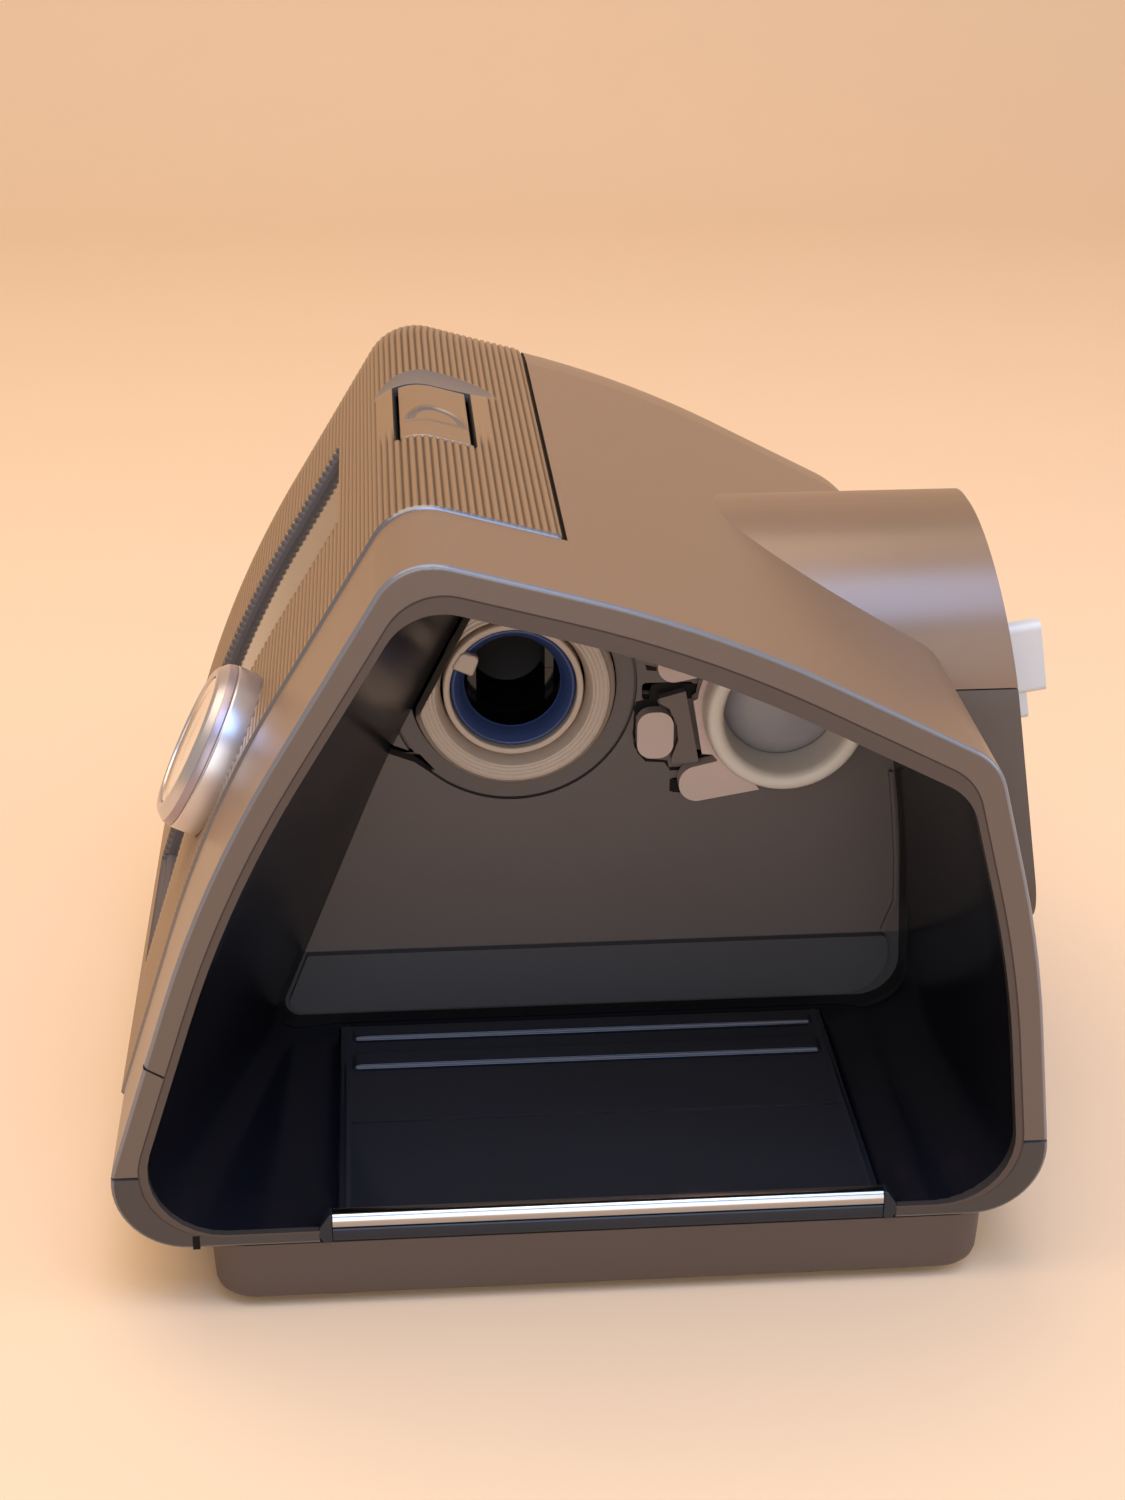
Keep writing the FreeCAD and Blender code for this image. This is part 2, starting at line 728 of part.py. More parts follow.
def base_tray():
    body = new_body("base_tray")
    fill(body, size.rim_x, 0, 0)
    hollow(body, size.rim_x - size.rim_depth, size.wall, size.tray_wall)
    open_rim(body)
    keep(body, z=(None, size.seam_z))
    well = sketch_on(body, "XY", 0)
    outline(well, plate_window(WELL_EDGE - size.fit_gap), PLATE_ROUND)
    cut(body, well, size.bay_floor_z)
    notch = sketch_on(body, "XY", 0)
    outline(notch, rectangle(BAR_X[0] - size.fit_gap, DEEP, CAP_Y[0] - size.fit_gap, CAP_Y[1] + size.fit_gap))
    cut(body, notch)
    for x, y in SCREWS:
        post = sketch_on(body, "XY", FLOOR_Z - size.tray_wall / 2)
        circle(post, x, y, POST)
        pad(body, post, POST_HEIGHT + size.tray_wall / 2)
    for x, y in BOARD_POSTS:
        post = sketch_on(body, "XY", FLOOR_Z - size.tray_wall / 2)
        circle(post, x, y, BOARD_POST)
        pad(body, post, size.board_z - FLOOR_Z + size.tray_wall / 2)
    for x, y in SCREWS:
        hole = sketch_on(body, "XY", 0)
        circle(hole, x, y, SHANK + size.shaft_slack)
        cut(body, hole)
    soften_rim(body)


def plinth_corners(draw_in):
    return rectangle(size.plinth_far + draw_in, size.plinth_near - draw_in,
                     size.plinth_front + draw_in, size.plinth_rear - draw_in)


def plinth():
    body = new_body("plinth")
    top = sketch_on(body, "XY", size.tray_z)
    outline(top, plinth_corners(sized(0)), size.plinth_round)
    foot = sketch_on(body, "XY", size.pad_height)
    outline(foot, plinth_corners(size.plinth_draft), size.plinth_round)
    loft(body, [top, foot])
    doc.recompute()
    inside = sketch_on(body, "XY", size.pad_height + size.wall)
    outline(inside, plinth_corners(size.plinth_draft + size.wall), size.plinth_round - size.wall)
    cut(body, inside)
    for x, y in SCREWS:
        post = sketch_on(body, "XY", size.pad_height + size.wall / 2)
        circle(post, x, y, POST)
        pad(body, post, size.tray_z - size.pad_height - size.wall / 2)
    for x, y in SCREWS:
        hole = sketch_on(body, "XY", 0)
        circle(hole, x, y, SHANK + size.shaft_slack)
        cut(body, hole)
        sink = sketch_on(body, "XY", 0)
        circle(sink, x, y, size.screw_radius + size.fit_gap)
        cut(body, sink, SCREW_SEAT_Z)


SCREW_SEAT_Z = size.pad_height + size.wall
SCREW_HEAD = 1.8
SCREW_BITE = 4
MAT_MARGIN = 2


def case_screws():
    body = new_body("case_screws")
    for x, y in SCREWS:
        head = sketch_on(body, "XY", SCREW_SEAT_Z - SCREW_HEAD)
        circle(head, x, y, size.screw_radius)
        pad(body, head, SCREW_HEAD)
        shank = sketch_on(body, "XY", SCREW_SEAT_Z)
        circle(shank, x, y, SHANK)
        pad(body, shank, FLOOR_Z + SCREW_BITE - SCREW_SEAT_Z)


def rubber_mat():
    body = new_body("rubber_mat")
    mat = sketch_on(body, "XY", 0)
    outline(mat, plinth_corners(size.plinth_draft + size.pad_margin), size.plinth_round - size.pad_margin)
    pad(body, mat, size.pad_height)
    for x, y in SCREWS:
        hole = sketch_on(body, "XY", 0)
        circle(hole, x, y, size.screw_radius + MAT_MARGIN)
        cut(body, hole)


# ---------------------------------------------------------------------------------------------
# Ribbed fascia, power button, display channel and knob
# ---------------------------------------------------------------------------------------------
FASCIA_OUT = size.fascia_sink
FASCIA_IN = size.fascia_sink + size.fascia_wall
BUTTON_Y = (size.button_mid_y - size.button_width / 2, size.button_mid_y + size.button_width / 2)
BUTTON_TOP_Z = 118
BUTTON_SEAT_Z = 125.4
SWITCH_POSTS = [(-14, -10.5), (4, -10.5)]
SWITCH_POST = 1.8
SWITCH_WALL = 3.4
SWITCH_X = -6
SWITCH_HALF = 3
PLUNGER_RADIUS = 1.6
PLUNGER_HEIGHT = 0.8
KNOB_AXIS = (0, -cosine(size.knob_tilt), sine(size.knob_tilt))
SKIRT_GAP = 1.6


def walk(marks):
    """The rounded outline as straight and curved runs: (length, place function)."""
    runs = []
    count = len(marks)
    for index in range(count):
        spot, entry, leave, centre, bend, radius = marks[index]
        if radius:
            start = math.atan2(entry[1] - centre[1], entry[0] - centre[0])
            runs.append((abs(bend) * radius, arc_place(centre, radius, start)))
        following = marks[(index + 1) % count][1]
        runs.append((math.dist(leave, following), line_place(leave, unit(leave, following))))
    return runs


def arc_place(centre, radius, start):
    def place(along):
        angle = start + along / radius
        out = (math.cos(angle), math.sin(angle))
        return (centre[0] + radius * out[0], centre[1] + radius * out[1]), out
    return place


def line_place(start, way):
    def place(along):
        return (start[0] + way[0] * along, start[1] + way[1] * along), (way[1], -way[0])
    return place


def rib_grooves():
    """Centres and outward directions of the grooves, spaced evenly along the skin."""
    marks = corner_points(skin_inset(size.fascia_sink), SKIN_ROUNDS)
    result = []
    left_over = size.rib_pitch.value / 2
    for length, place in walk(marks):
        along = left_over
        while along < length:
            spot, out = place(along)
            in_front = spot[0] < size.fascia_top_y.value - size.groove_width.value
            if in_front and spot[1] > (SEAM + size.rib_pitch).value:
                result.append((spot, out))
            along += size.rib_pitch.value
        left_over = along - length
    return result


GROOVE_PROUD = 0.15


def groove_comb(body, x, chosen):
    """Cuts the chosen grooves as small wedges that run along X between two places."""
    sketch = sketch_on(body, "YZ", x[0])
    half = size.groove_width.value / 2
    deep = size.groove_depth.value
    for spot, out in chosen:
        side = (-out[1] * half, out[0] * half)
        proud = (spot[0] + out[0] * GROOVE_PROUD, spot[1] + out[1] * GROOVE_PROUD)
        points = [
            (proud[0] + side[0], proud[1] + side[1]),
            (spot[0] - out[0] * deep, spot[1] - out[1] * deep),
            (proud[0] - side[0], proud[1] - side[1]),
        ]
        for index in range(3):
            start = points[index]
            end = points[(index + 1) % 3]
            sketch.addGeometry(Part.LineSegment(Vector(start[0], start[1], 0), Vector(end[0], end[1], 0)))
    cut(body, sketch, x[1] - x[0])


def knob_sketch(body, at=0):
    """A sketch square to the knob's axis, a distance out from the front wall."""
    sketch = sketch_on(body, "XZ")
    lean = size.knob_tilt
    y = size.knob_y + KNOB_AXIS[1] * at
    z = size.knob_z + KNOB_AXIS[2] * at
    sketch.AttachmentOffset = Placement(Vector(size.knob_x.value, z.value, -y.value),
                                        Rotation(Vector(1, 0, 0), -lean.value))
    sketch.setExpression("AttachmentOffset.Base.x", size.knob_x.text)
    sketch.setExpression("AttachmentOffset.Base.y", z.text)
    sketch.setExpression("AttachmentOffset.Base.z", (-y).text)
    sketch.setExpression("AttachmentOffset.Rotation.Angle", (-lean).text)
    return sketch


KNOB_HOLE = size.shaft_radius + 1.5
KNOB_HOLE_REACH = 10


def channel_window(body, margin, floor=0):
    """Opens the display channel through a strip of the front wall."""
    sketch = sketch_on(body, "XZ", -DEEP / 2)
    outline(sketch, rectangle(size.channel_far + margin, size.channel_near - margin,
                              size.channel_low + margin, size.channel_top - margin))
    item = feature(body, "Pocket", "cut", sketch)
    item.Reversed = False
    item.Length = DEEP
    doc.recompute()
    return item


SMOOTH_X = (size.button_far - 3, size.button_near - 2.5)
SMOOTH_Y = (-31, -10.6)
SCOOP_Z = 154.9
SCOOP = [(0, -31), (-24.2, -31), (-23.5, -26.6), (-23.5, -22), (-24.4, -15), (-24.2, -10.8), (0, -10.8)]


def finger_scoop(body):
    """A quarter of a barrel that hollows the fascia beyond the button's free end."""
    sketch = sketch_on(body, "XY", SCOOP_Z)
    far = size.button_far - size.button_slot / 2
    sketch.AttachmentOffset = Placement(Vector(far.value, 0, SCOOP_Z), Rotation())
    sketch.setExpression("AttachmentOffset.Base.x", far.text)
    outline(sketch, SCOOP, [None, None, 6, 12, 12, None, None])
    before = body.Shape.Volume
    item = turn(body, sketch, remove=True)
    item.Angle = 90
    item.Reversed = True
    doc.recompute()
    if body.Shape.Volume > before - 1:
        raise RuntimeError("the scoop removed nothing")


def ribbed_fascia():
    body = band("ribbed_fascia", size.fascia_near, FASCIA_OUT, FASCIA_IN)
    keep(body, x=(size.fascia_far, None), y=(None, size.fascia_top_y), z=(SEAM, None))
    smooth = [item for item in rib_grooves() if SMOOTH_Y[0] < item[0][0] < SMOOTH_Y[1] and item[1][1] > 0.5]
    others = [item for item in rib_grooves() if item not in smooth]
    groove_comb(body, (size.dome_start, size.fascia_near), others)
    groove_comb(body, (size.dome_start, SMOOTH_X[0]), smooth)
    groove_comb(body, (SMOOTH_X[1], size.fascia_near), smooth)
    finger_scoop(body)
    channel_window(body, sized(0))
    slot = sketch_on(body, "XY", BUTTON_TOP_Z)
    outline(slot, rectangle(size.button_far - size.button_slot, size.button_near,
                            BUTTON_Y[0] - size.button_slot, BUTTON_Y[1] + size.button_slot))
    cut(body, slot)
    sketch = knob_sketch(body, KNOB_HOLE_REACH)
    circle(sketch, 0, 0, KNOB_HOLE)
    item = feature(body, "Pocket", "cut", sketch)
    item.Length = 2 * KNOB_HOLE_REACH
    doc.recompute()
    for x, y in SWITCH_POSTS:
        post = sketch_on(body, "XY", BUTTON_SEAT_Z + 0.1)
        circle(post, x, y, SWITCH_POST)
        pad(body, post, SWITCH_WALL + 0.2)


def power_button():
    body = strip("power_button", (size.button_far, size.button_near - size.fit_gap), FASCIA_OUT,
                 FASCIA_OUT + size.button_wall)
    keep(body, y=BUTTON_Y, z=(BUTTON_TOP_Z, None))


def channel_frame():
    outer = (size.channel_far + size.fit_gap, size.channel_near - size.fit_gap)
    depth = size.channel_depth + size.glass_wall
    body = strip("channel_frame", outer, FASCIA_OUT + size.fit_gap, depth)
    keep(body, y=(None, size.fascia_top_y), z=(size.channel_low + size.fit_gap, size.channel_top - size.fit_gap))
    channel_window(body, size.frame_wall + size.fit_gap)


def display_glass():
    margin = size.frame_wall + 2 * size.fit_gap
    body = strip("display_glass", (size.channel_far + margin, size.channel_near - margin),
                 size.channel_depth, size.channel_depth + size.glass_wall)
    keep(body, y=(None, size.fascia_top_y), z=(size.channel_low + margin, size.channel_top - margin))


def on_front(body, out):
    """Seats a body that was built upright on the knob's axis, a distance out from the wall."""
    seat(body, size.knob_x, size.knob_y + KNOB_AXIS[1] * out, size.knob_z + KNOB_AXIS[2] * out,
         90 - size.knob_tilt)


def ring_profile(body, points):
    """A revolved piece from its half section: radius, then height."""
    sketch = sketch_on(body, "XZ")
    outline(sketch, points)
    turn(body, sketch)
    doc.recompute()


BOARD_DEPTH = 10.0
BOARD_BELOW = 26
BOARD_ABOVE = 24
BOARD_MARGIN = 2
BOW_SAG = 0.85
SOCKET = 1.2
SKIRT_WALL = 1.8
WAIST = 0.5
FACE_LAND = 1.6
FACE_SEAT = 2
FACE_DISH = 1.0
SHAFT_NECK = 0.6
SHAFT_PIN = 2.2
COLLAR_HEIGHT = 1.0
PLUNGER_LONG = 0.85


def knob_pieces():
    """A skirt with a bevelled face, a dished cap, and the shaft that turns and presses in the encoder."""
    top = size.knob_height
    low = SKIRT_GAP + size.knob_travel
    bore = size.shaft_radius + size.shaft_slack
    inner = size.knob_radius - SKIRT_WALL
    waist = size.knob_radius - WAIST
    shoulder = top - (size.knob_radius - size.knob_face_radius)
    rim = size.knob_face_radius - FACE_LAND
    base = top - FACE_SEAT
    skirt = new_body("knob_skirt")
    ring_profile(skirt, [
        (bore, low + SOCKET), (inner, low + SOCKET), (inner, low), (size.knob_radius, low),
        (size.knob_radius, shoulder - 0.8), (waist, shoulder - 0.4), (waist, shoulder),
        (size.knob_face_radius, top), (rim, top), (rim, base), (bore, base)])
    on_front(skirt, 0)
    face = new_body("knob_face")
    edge = rim - size.fit_gap / 2
    ring_profile(face, [(0, base), (edge, base), (edge, top - 0.3), (edge - 1.2, top - 0.7), (0, top - FACE_DISH)])
    on_front(face, 0)
    shaft = new_body("encoder_shaft")
    foot = -BOARD_DEPTH + size.encoder_height
    neck = size.shaft_radius - SHAFT_NECK
    ring_profile(shaft, [(0, foot - SHAFT_PIN), (neck, foot - SHAFT_PIN), (neck, foot + COLLAR_HEIGHT),
                         (size.shaft_radius, foot + COLLAR_HEIGHT), (size.shaft_radius, base), (0, base)])
    on_front(shaft, 0)
    well = foot - SHAFT_PIN - size.knob_travel
    plunger = new_body("encoder_plunger")
    disc = sketch_on(plunger, "XY", well - 0.1)
    circle(disc, 0, 0, neck - 0.1)
    pad(plunger, disc, PLUNGER_LONG)
    on_front(plunger, 0)
    body = new_body("encoder")
    case = sketch_on(body, "XY", -BOARD_DEPTH)
    half = size.encoder_side / 2
    outline(case, rectangle(-half, half, -half, half), 1.0)
    pad(body, case, size.encoder_height)
    collar = sketch_on(body, "XY", foot)
    circle(collar, 0, 0, size.shaft_radius + 1)
    pad(body, collar, COLLAR_HEIGHT)
    hole = sketch_on(body, "XY", well - 1.0)
    circle(hole, 0, 0, neck + size.shaft_slack)
    cut(body, hole)
    mouth = sketch_on(body, "XY", foot)
    circle(mouth, 0, 0, bore)
    cut(body, mouth)
    on_front(body, 0)


def control_board():
    """The circuit board behind the front wall, and the screen on it that stands behind the glass."""
    body = new_body("control_board")
    sketch = sketch_on(body, "XY", -BOARD_DEPTH - size.board_wall)
    outline(sketch, rectangle(size.channel_far - 15 - size.knob_x, size.encoder_side / 2 + BOARD_MARGIN,
                              -BOARD_BELOW, BOARD_ABOVE), 2.0)
    pad(body, sketch, size.board_wall)
    on_front(body, 0)
    screen = new_body("display_module")
    sketch = sketch_on(screen, "XY", -BOARD_DEPTH)
    outline(sketch, rectangle(size.channel_far + 2 - size.knob_x, size.channel_near - 4 - size.knob_x,
                              BOARD_MARGIN - BOARD_BELOW, BOARD_ABOVE - BOARD_MARGIN), 1.0)
    pad(screen, sketch, BOARD_DEPTH - BOW_SAG - size.channel_depth - size.glass_wall)
    on_front(screen, 0)


def power_switch():
    """The switch under the power button, and its board on the fascia's two posts."""
    body = new_body("power_switch")
    sketch = sketch_on(body, "XY", BUTTON_SEAT_Z)
    outline(sketch, rectangle(SWITCH_X - SWITCH_HALF, SWITCH_X + SWITCH_HALF,
                              size.button_mid_y - SWITCH_HALF, size.button_mid_y + SWITCH_HALF), 0.6)
    pad(body, sketch, SWITCH_WALL)
    top = sketch_on(body, "XY", BUTTON_SEAT_Z + SWITCH_WALL)
    circle(top, SWITCH_X, size.button_mid_y, PLUNGER_RADIUS)
    pad(body, top, PLUNGER_HEIGHT)
    body = new_body("switch_board")
    sketch = sketch_on(body, "XY", BUTTON_SEAT_Z - size.board_wall)
    outline(sketch, rectangle(SWITCH_POSTS[0][0] - 3, SWITCH_POSTS[1][0] + 3,
                              size.button_mid_y - 8, SWITCH_POSTS[0][1] + 2.5), 1.0)
    pad(body, sketch, size.board_wall)


# ---------------------------------------------------------------------------------------------
# Water tub bay: liner, back panel, heater plate, catch bar and the two ports
# ---------------------------------------------------------------------------------------------
BAY_BACK = [
    (size.bay_front_low_y, size.bay_floor_z),
    (size.bay_rear_low_y, size.bay_floor_z),
    (size.bay_rear_mid_y, size.bay_rear_mid_z),
    (size.bay_rear_top_y, size.bay_rear_top_z),
    (size.bay_top_mid_y, size.bay_top_mid_z),
    (size.bay_front_top_y, size.bay_front_top_z),
    (size.bay_front_mid_y, size.bay_front_mid_z),
]
BAY_ROUNDS = [size.bay_foot_round, size.bay_round, size.bow, size.bay_round, size.bow, size.bay_round, size.bow]
LIP = 0.6
PANEL_EDGE = 2
PLATE_ROUND = 5
BAR_X = (size.rim_x - size.rim_depth, size.rim_x)
CAP_WIDTH = 1.9
BAND_HEIGHT = 1.7
RAIL_HEIGHT = 2.9
BAR_Y = (size.plate_front - 1, size.plate_rear + 0.2)
CAP_Y = (BAR_Y[0] - CAP_WIDTH, BAR_Y[1] + CAP_WIDTH)
BAR_Z = (size.tray_z + size.fit_gap, size.bay_floor_z + 1.6)


def bay_sketch(body, at, step):
    sketch = sketch_on(body, "YZ", at)
    outline(sketch, inset(BAY_BACK, sized(step)), BAY_ROUNDS)
    return sketch


def bay_liner():
    body = new_body("bay_liner")
    mouth_x = size.rim_x - size.rim_depth
    step = size.rim_width + LIP
    floor = size.bay_floor_z - size.tray_z
    near = skin_sketch(body, mouth_x, step - size.liner_wall, floor - size.liner_wall)
    back = bay_sketch(body, size.bay_back_x, -size.liner_wall)
    loft(body, [near, back])
    doc.recompute()
    near = skin_sketch(body, mouth_x, step, floor)
    back = bay_sketch(body, size.bay_back_x, 0)
    loft(body, [near, back], remove=True)
    doc.recompute()
    window = sketch_on(body, "XY", 0)
    outline(window, rectangle(size.plate_far - size.fit_gap, DEEP, size.plate_front - size.fit_gap,
                              size.plate_rear + size.fit_gap))
    cut(body, window, size.bay_floor_z + 1)


SLAB = [
    (size.bay_front_low_y + 1.3, size.bay_floor_z + 1.2),
    (size.bay_rear_low_y - 0.8, size.bay_floor_z + 1.2),
    (size.bay_rear_low_y - 3.4, size.bay_floor_z + 13.6),
    (size.bay_front_low_y + 6.2, size.bay_floor_z + 13.6),
]
SLAB_WALL = 1.6
BEAD = [
    (size.bay_rear_low_y - 4.4, size.bay_floor_z + 14.4),
    (size.bay_rear_low_y - 3.6, size.bay_floor_z + 14.0),
    (size.bay_rear_low_y - 1.5, size.bay_floor_z + 20.6),
    (size.bay_rear_low_y - 1.8, size.bay_floor_z + 28.8),
    (size.bay_rear_low_y - 2.7, size.bay_floor_z + 38.8),
    (size.bay_rear_low_y - 3.8, size.bay_floor_z + 48),
    (size.bay_rear_low_y - 4.5, size.bay_floor_z + 48),
    (size.bay_rear_low_y - 3.4, size.bay_floor_z + 38.8),
    (size.bay_rear_low_y - 2.5, size.bay_floor_z + 28.8),
    (size.bay_rear_low_y - 2.2, size.bay_floor_z + 20.6),
]
BEAD_WALL = 1.0


def bay_back_panel():
    body = new_body("bay_back_panel")
    plate = sketch_on(body, "YZ", size.bay_back_x - size.panel_wall)
    outline(plate, inset(BAY_BACK, [-size.liner_wall] + [-size.liner_wall - PANEL_EDGE] * SIDES), BAY_ROUNDS)
    pad(body, plate, size.panel_wall)
    holes = sketch_on(body, "YZ", 0)
    circle(holes, size.port_y, size.port_z, size.port_flange_radius + size.fit_gap)
    circle(holes, size.return_y, RETURN_Z, size.return_radius + size.fit_gap)
    cut(body, holes)
    for corners, radius in WINDOWS:
        window = sketch_on(body, "YZ", 0)
        outline(window, corners, radius)
        cut(body, window)
    groove = sketch_on(body, "YZ", size.bay_back_x - RING_DEPTH)
    circle(groove, size.port_y, size.port_z, size.port_ring_radius + RING_WIDTH / 2)
    circle(groove, size.port_y, size.port_z, size.port_ring_radius - RING_WIDTH / 2)
    cut(body, groove)
    slab = sketch_on(body, "YZ", size.bay_back_x)
    outline(slab, SLAB, [2.5, 8.5, 1.0, None])
    pad(body, slab, SLAB_WALL)
    bead = sketch_on(body, "YZ", size.bay_back_x)
    outline(bead, BEAD)
    pad(body, bead, BEAD_WALL)


RING_WIDTH = 0.6
RING_DEPTH = 1.2
RETURN_Z = size.boss_z - (size.boss_end_y - size.return_y) * LEAN_SLOPE
LATCH_Y = size.return_y - size.return_radius - 8.55
LATCH_Z = RETURN_Z - 5.35


def beside(y, z, spots):
    """Places given from a point across the machine, as an outline."""
    return [(y + spot[0], z + spot[1]) for spot in spots]


LATCH_SLOT = beside(LATCH_Y, LATCH_Z, rectangle(-3.75, 3.75, -5.0, 5.0))
WINDOWS = [
    (LATCH_SLOT, 2.6),
    (beside(LATCH_Y, LATCH_Z, rectangle(-2.3, 7.25, 5.9, 9.3)), 0.8),
    (beside(LATCH_Y, LATCH_Z, rectangle(6.9, 10.4, -8.0, -4.4)), 0.8),
    (beside(LATCH_Y, LATCH_Z, rectangle(3.2, 7.8, -13.0, -10.0)), 0.8),
    (beside(size.port_y, size.port_z, [(-23.6, -12.5), (-18.3, -14.6), (-15.2, -17.0), (-14.6, -16.2),
                                       (-17.3, -13.0), (-22.8, -10.8)]), None),
]


FLANGE = 0.6
RIDGES = [(4.4, 8.4), (10.6, 14.4)]
RIDGE_HEIGHT = 0.8


def heater():
    plate = new_body("heater_plate")
    top = size.bay_floor_z + size.plate_lift
    low = size.bay_floor_z - size.liner_wall - size.fit_gap
    sketch = sketch_on(plate, "XY", low)
    outline(sketch, plate_window(-size.fit_gap), PLATE_ROUND)
    pad(plate, sketch, top - low)
    round_edges(plate, 0.5, lambda edge: edge.CenterOfMass.z > top.value - 0.01)
    for start, end in RIDGES:
        ridge = sketch_on(plate, "XY", top)
        outline(ridge, rectangle(size.plate_far + start, size.plate_far + end,
                                 size.plate_front + 0.7, size.plate_rear - 1.2))
        pad(plate, ridge, RIDGE_HEIGHT)
    flange = sketch_on(plate, "XY", low - FLANGE)
    outline(flange, rectangle(size.plate_far - 1.6, size.plate_near + 0.9,
                              size.plate_front - 1.6, size.plate_rear + 1.6), PLATE_ROUND)
    pad(plate, flange, FLANGE)
    element = new_body("heater_element")
    sketch = sketch_on(element, "XY", low - FLANGE - size.plate_wall)
    outline(sketch, rectangle(size.plate_far + 12, size.plate_near - 12,
                              size.plate_front + 14, size.plate_rear - 14), 6)
    pad(element, sketch, size.plate_wall)


SPRING_SPOTS = [(28, -33), (28, 42), (74, -33), (74, 42)]
SPRING_BORE = 1.6
SPRING_WAIST = 2.4
SPRING_BELLY = 3.4
SPRING_WAVES = 2
SPRING_FOOT_Z = size.pad_height + size.wall
SPRING_TOP_Z = size.bay_floor_z - size.liner_wall - size.fit_gap - FLANGE


def heater_springs():
    """Four elastomer bellows that press the heater plate up, each turned from a zigzag profile."""
    body = new_body("heater_springs")
    tall = SPRING_TOP_Z - SPRING_FOOT_Z
    profile = [(SPRING_BORE, SPRING_FOOT_Z), (SPRING_WAIST, SPRING_FOOT_Z)]
    for wave in range(SPRING_WAVES):
        profile.append((SPRING_BELLY, SPRING_FOOT_Z + tall * (2 * wave + 1) / (2 * SPRING_WAVES)))
        profile.append((SPRING_WAIST, SPRING_FOOT_Z + tall * (2 * wave + 2) / (2 * SPRING_WAVES)))
    profile.append((SPRING_BORE, SPRING_TOP_Z))
    for x, y in SPRING_SPOTS:
        sketch = sketch_on(body, "XZ", y)
        sketch.AttachmentOffset = Placement(Vector(x, 0, -y), Rotation())
        outline(sketch, profile)
        turn(body, sketch)
        doc.recompute()


def catch_bar():
    """A polished rail over a groove and a lower band, with a faceted cap at each end."""
    body = new_body("sill_bar")
    far = BAR_X[0] + size.fit_gap
    face = size.rim_x - 0.3
    low, high = BAR_Z
    section = sketch_on(body, "XZ", BAR_Y[1])
    outline(section, [(far, low), (face, low), (face, low + BAND_HEIGHT), (face - 0.9, low + BAND_HEIGHT),
                      (face - 0.9, high - RAIL_HEIGHT), (size.rim_x, high - RAIL_HEIGHT), (size.rim_x, high),
                      (far, high)], [None, 0.6, 0.4, None, None, 0.5, 1.3, 0.5])
    pad(body, section, BAR_Y[1] - BAR_Y[0])
    caps = new_body("sill_bar_caps")
    top = high + 0.5
    for inner, side in ((BAR_Y[0], -1), (BAR_Y[1], 1)):
        facet = [(inner, low), (inner + side * 1.0, low), (inner + side * CAP_WIDTH, low + 1.8),
                 (inner + side * CAP_WIDTH, top - 1.4), (inner + side * 0.6, top), (inner, top)]
        if side < 0:
            facet.reverse()
        sections = []
        for x, step in ((far, 0), (size.rim_x - 1.1, 0), (size.rim_x, 0.55)):
            sketch = sketch_on(caps, "YZ", x)
            outline(sketch, inset(facet, sized(step)))
            sections.append(sketch)
        loft(caps, sections)


def along_x(body, y, z):
    """Seats a body that was built upright so that its axis points out of the bay."""
    body.Placement = Placement(Vector(0, y.value, z.value), Rotation(Vector(0, 1, 0), 90))
    body.setExpression("Placement.Base.y", y.text)
    body.setExpression("Placement.Base.z", z.text)


def port_ring(name, y, z, points):
    """A ring round a port axis, from its half section: radius, then X."""
    body = new_body(name)
    sketch = sketch_on(body, "XZ")
    outline(sketch, points)
    turn(body, sketch)
    doc.recompute()
    along_x(body, y, z)
    return body


WALL_SHY = 1.3
MOAT = 0.7
SEAL_START = 8
SEAL_LIP = 4.5


def ports():
    """The blower port, a sealed tube sunk in its flange, and the silicone ring of the return port."""
    face = size.bay_back_x
    tip = face + size.port_reach
    front = tip + 1.5
    inner = size.port_tube_radius + MOAT
    port_ring("port_flange", size.port_y, size.port_z, [
        (inner, face - size.panel_wall), (size.port_flange_radius, face - size.panel_wall),
        (size.port_flange_radius, front - 1.6), (size.port_flange_radius - 1.5, front - 0.6),
        (size.port_flange_radius - 1.7, front - 0.2), (inner + 0.4, front), (inner, front - 0.4)])
    flange = PIECES[-1]
    low = BAY_BACK[6]
    high = BAY_BACK[5]
    side = sketch_on(flange, "XY", 0)
    outline(side, [(size.port_z - high[1], high[0] - size.port_y + WALL_SHY),
                   (size.port_z - high[1], -60), (size.port_z - low[1], -60),
                   (size.port_z - low[1], low[0] - size.port_y + WALL_SHY)])
    cut(flange, side)
    port_ring("port_tube", size.port_y, size.port_z, [
        (size.seal_radius + 0.1, DUCT_JOINT_X), (size.port_tube_radius, DUCT_JOINT_X),
        (size.port_tube_radius, tip - 0.6), (size.port_tube_radius - 0.6, tip), (size.seal_radius + 0.1, tip)])
    port_ring("port_seal", size.port_y, size.port_z, [
        (size.port_bore, SEAL_START), (size.seal_radius, SEAL_START), (size.seal_radius, tip - 1.2),
        (size.seal_radius - 0.7, tip - 0.9), (size.port_bore + 0.9, tip - 2.6),
        (size.port_bore + 0.6, tip - SEAL_LIP + 0.8), (size.port_bore, tip - SEAL_LIP)])
    reach = face + size.return_reach
    port_ring("return_seal", size.return_y, RETURN_Z, [
        (size.return_bore, face), (size.return_radius, face), (size.return_radius, reach - 1.2),
        (size.return_radius - 0.9, reach), (size.return_bore + 1.2, reach - 0.3),
        (size.return_bore, reach - 2.2)])


DUCT_JOINT_X = 7
DUCT_OUTER = size.return_bore + size.duct_wall


# ---------------------------------------------------------------------------------------------
# Air outlet: duct from the return port to the rear boss, and the swivelling hose port
# ---------------------------------------------------------------------------------------------
DRUM_FAR = -7
DRUM_NEAR = size.bay_back_x - size.panel_wall - size.fit_gap


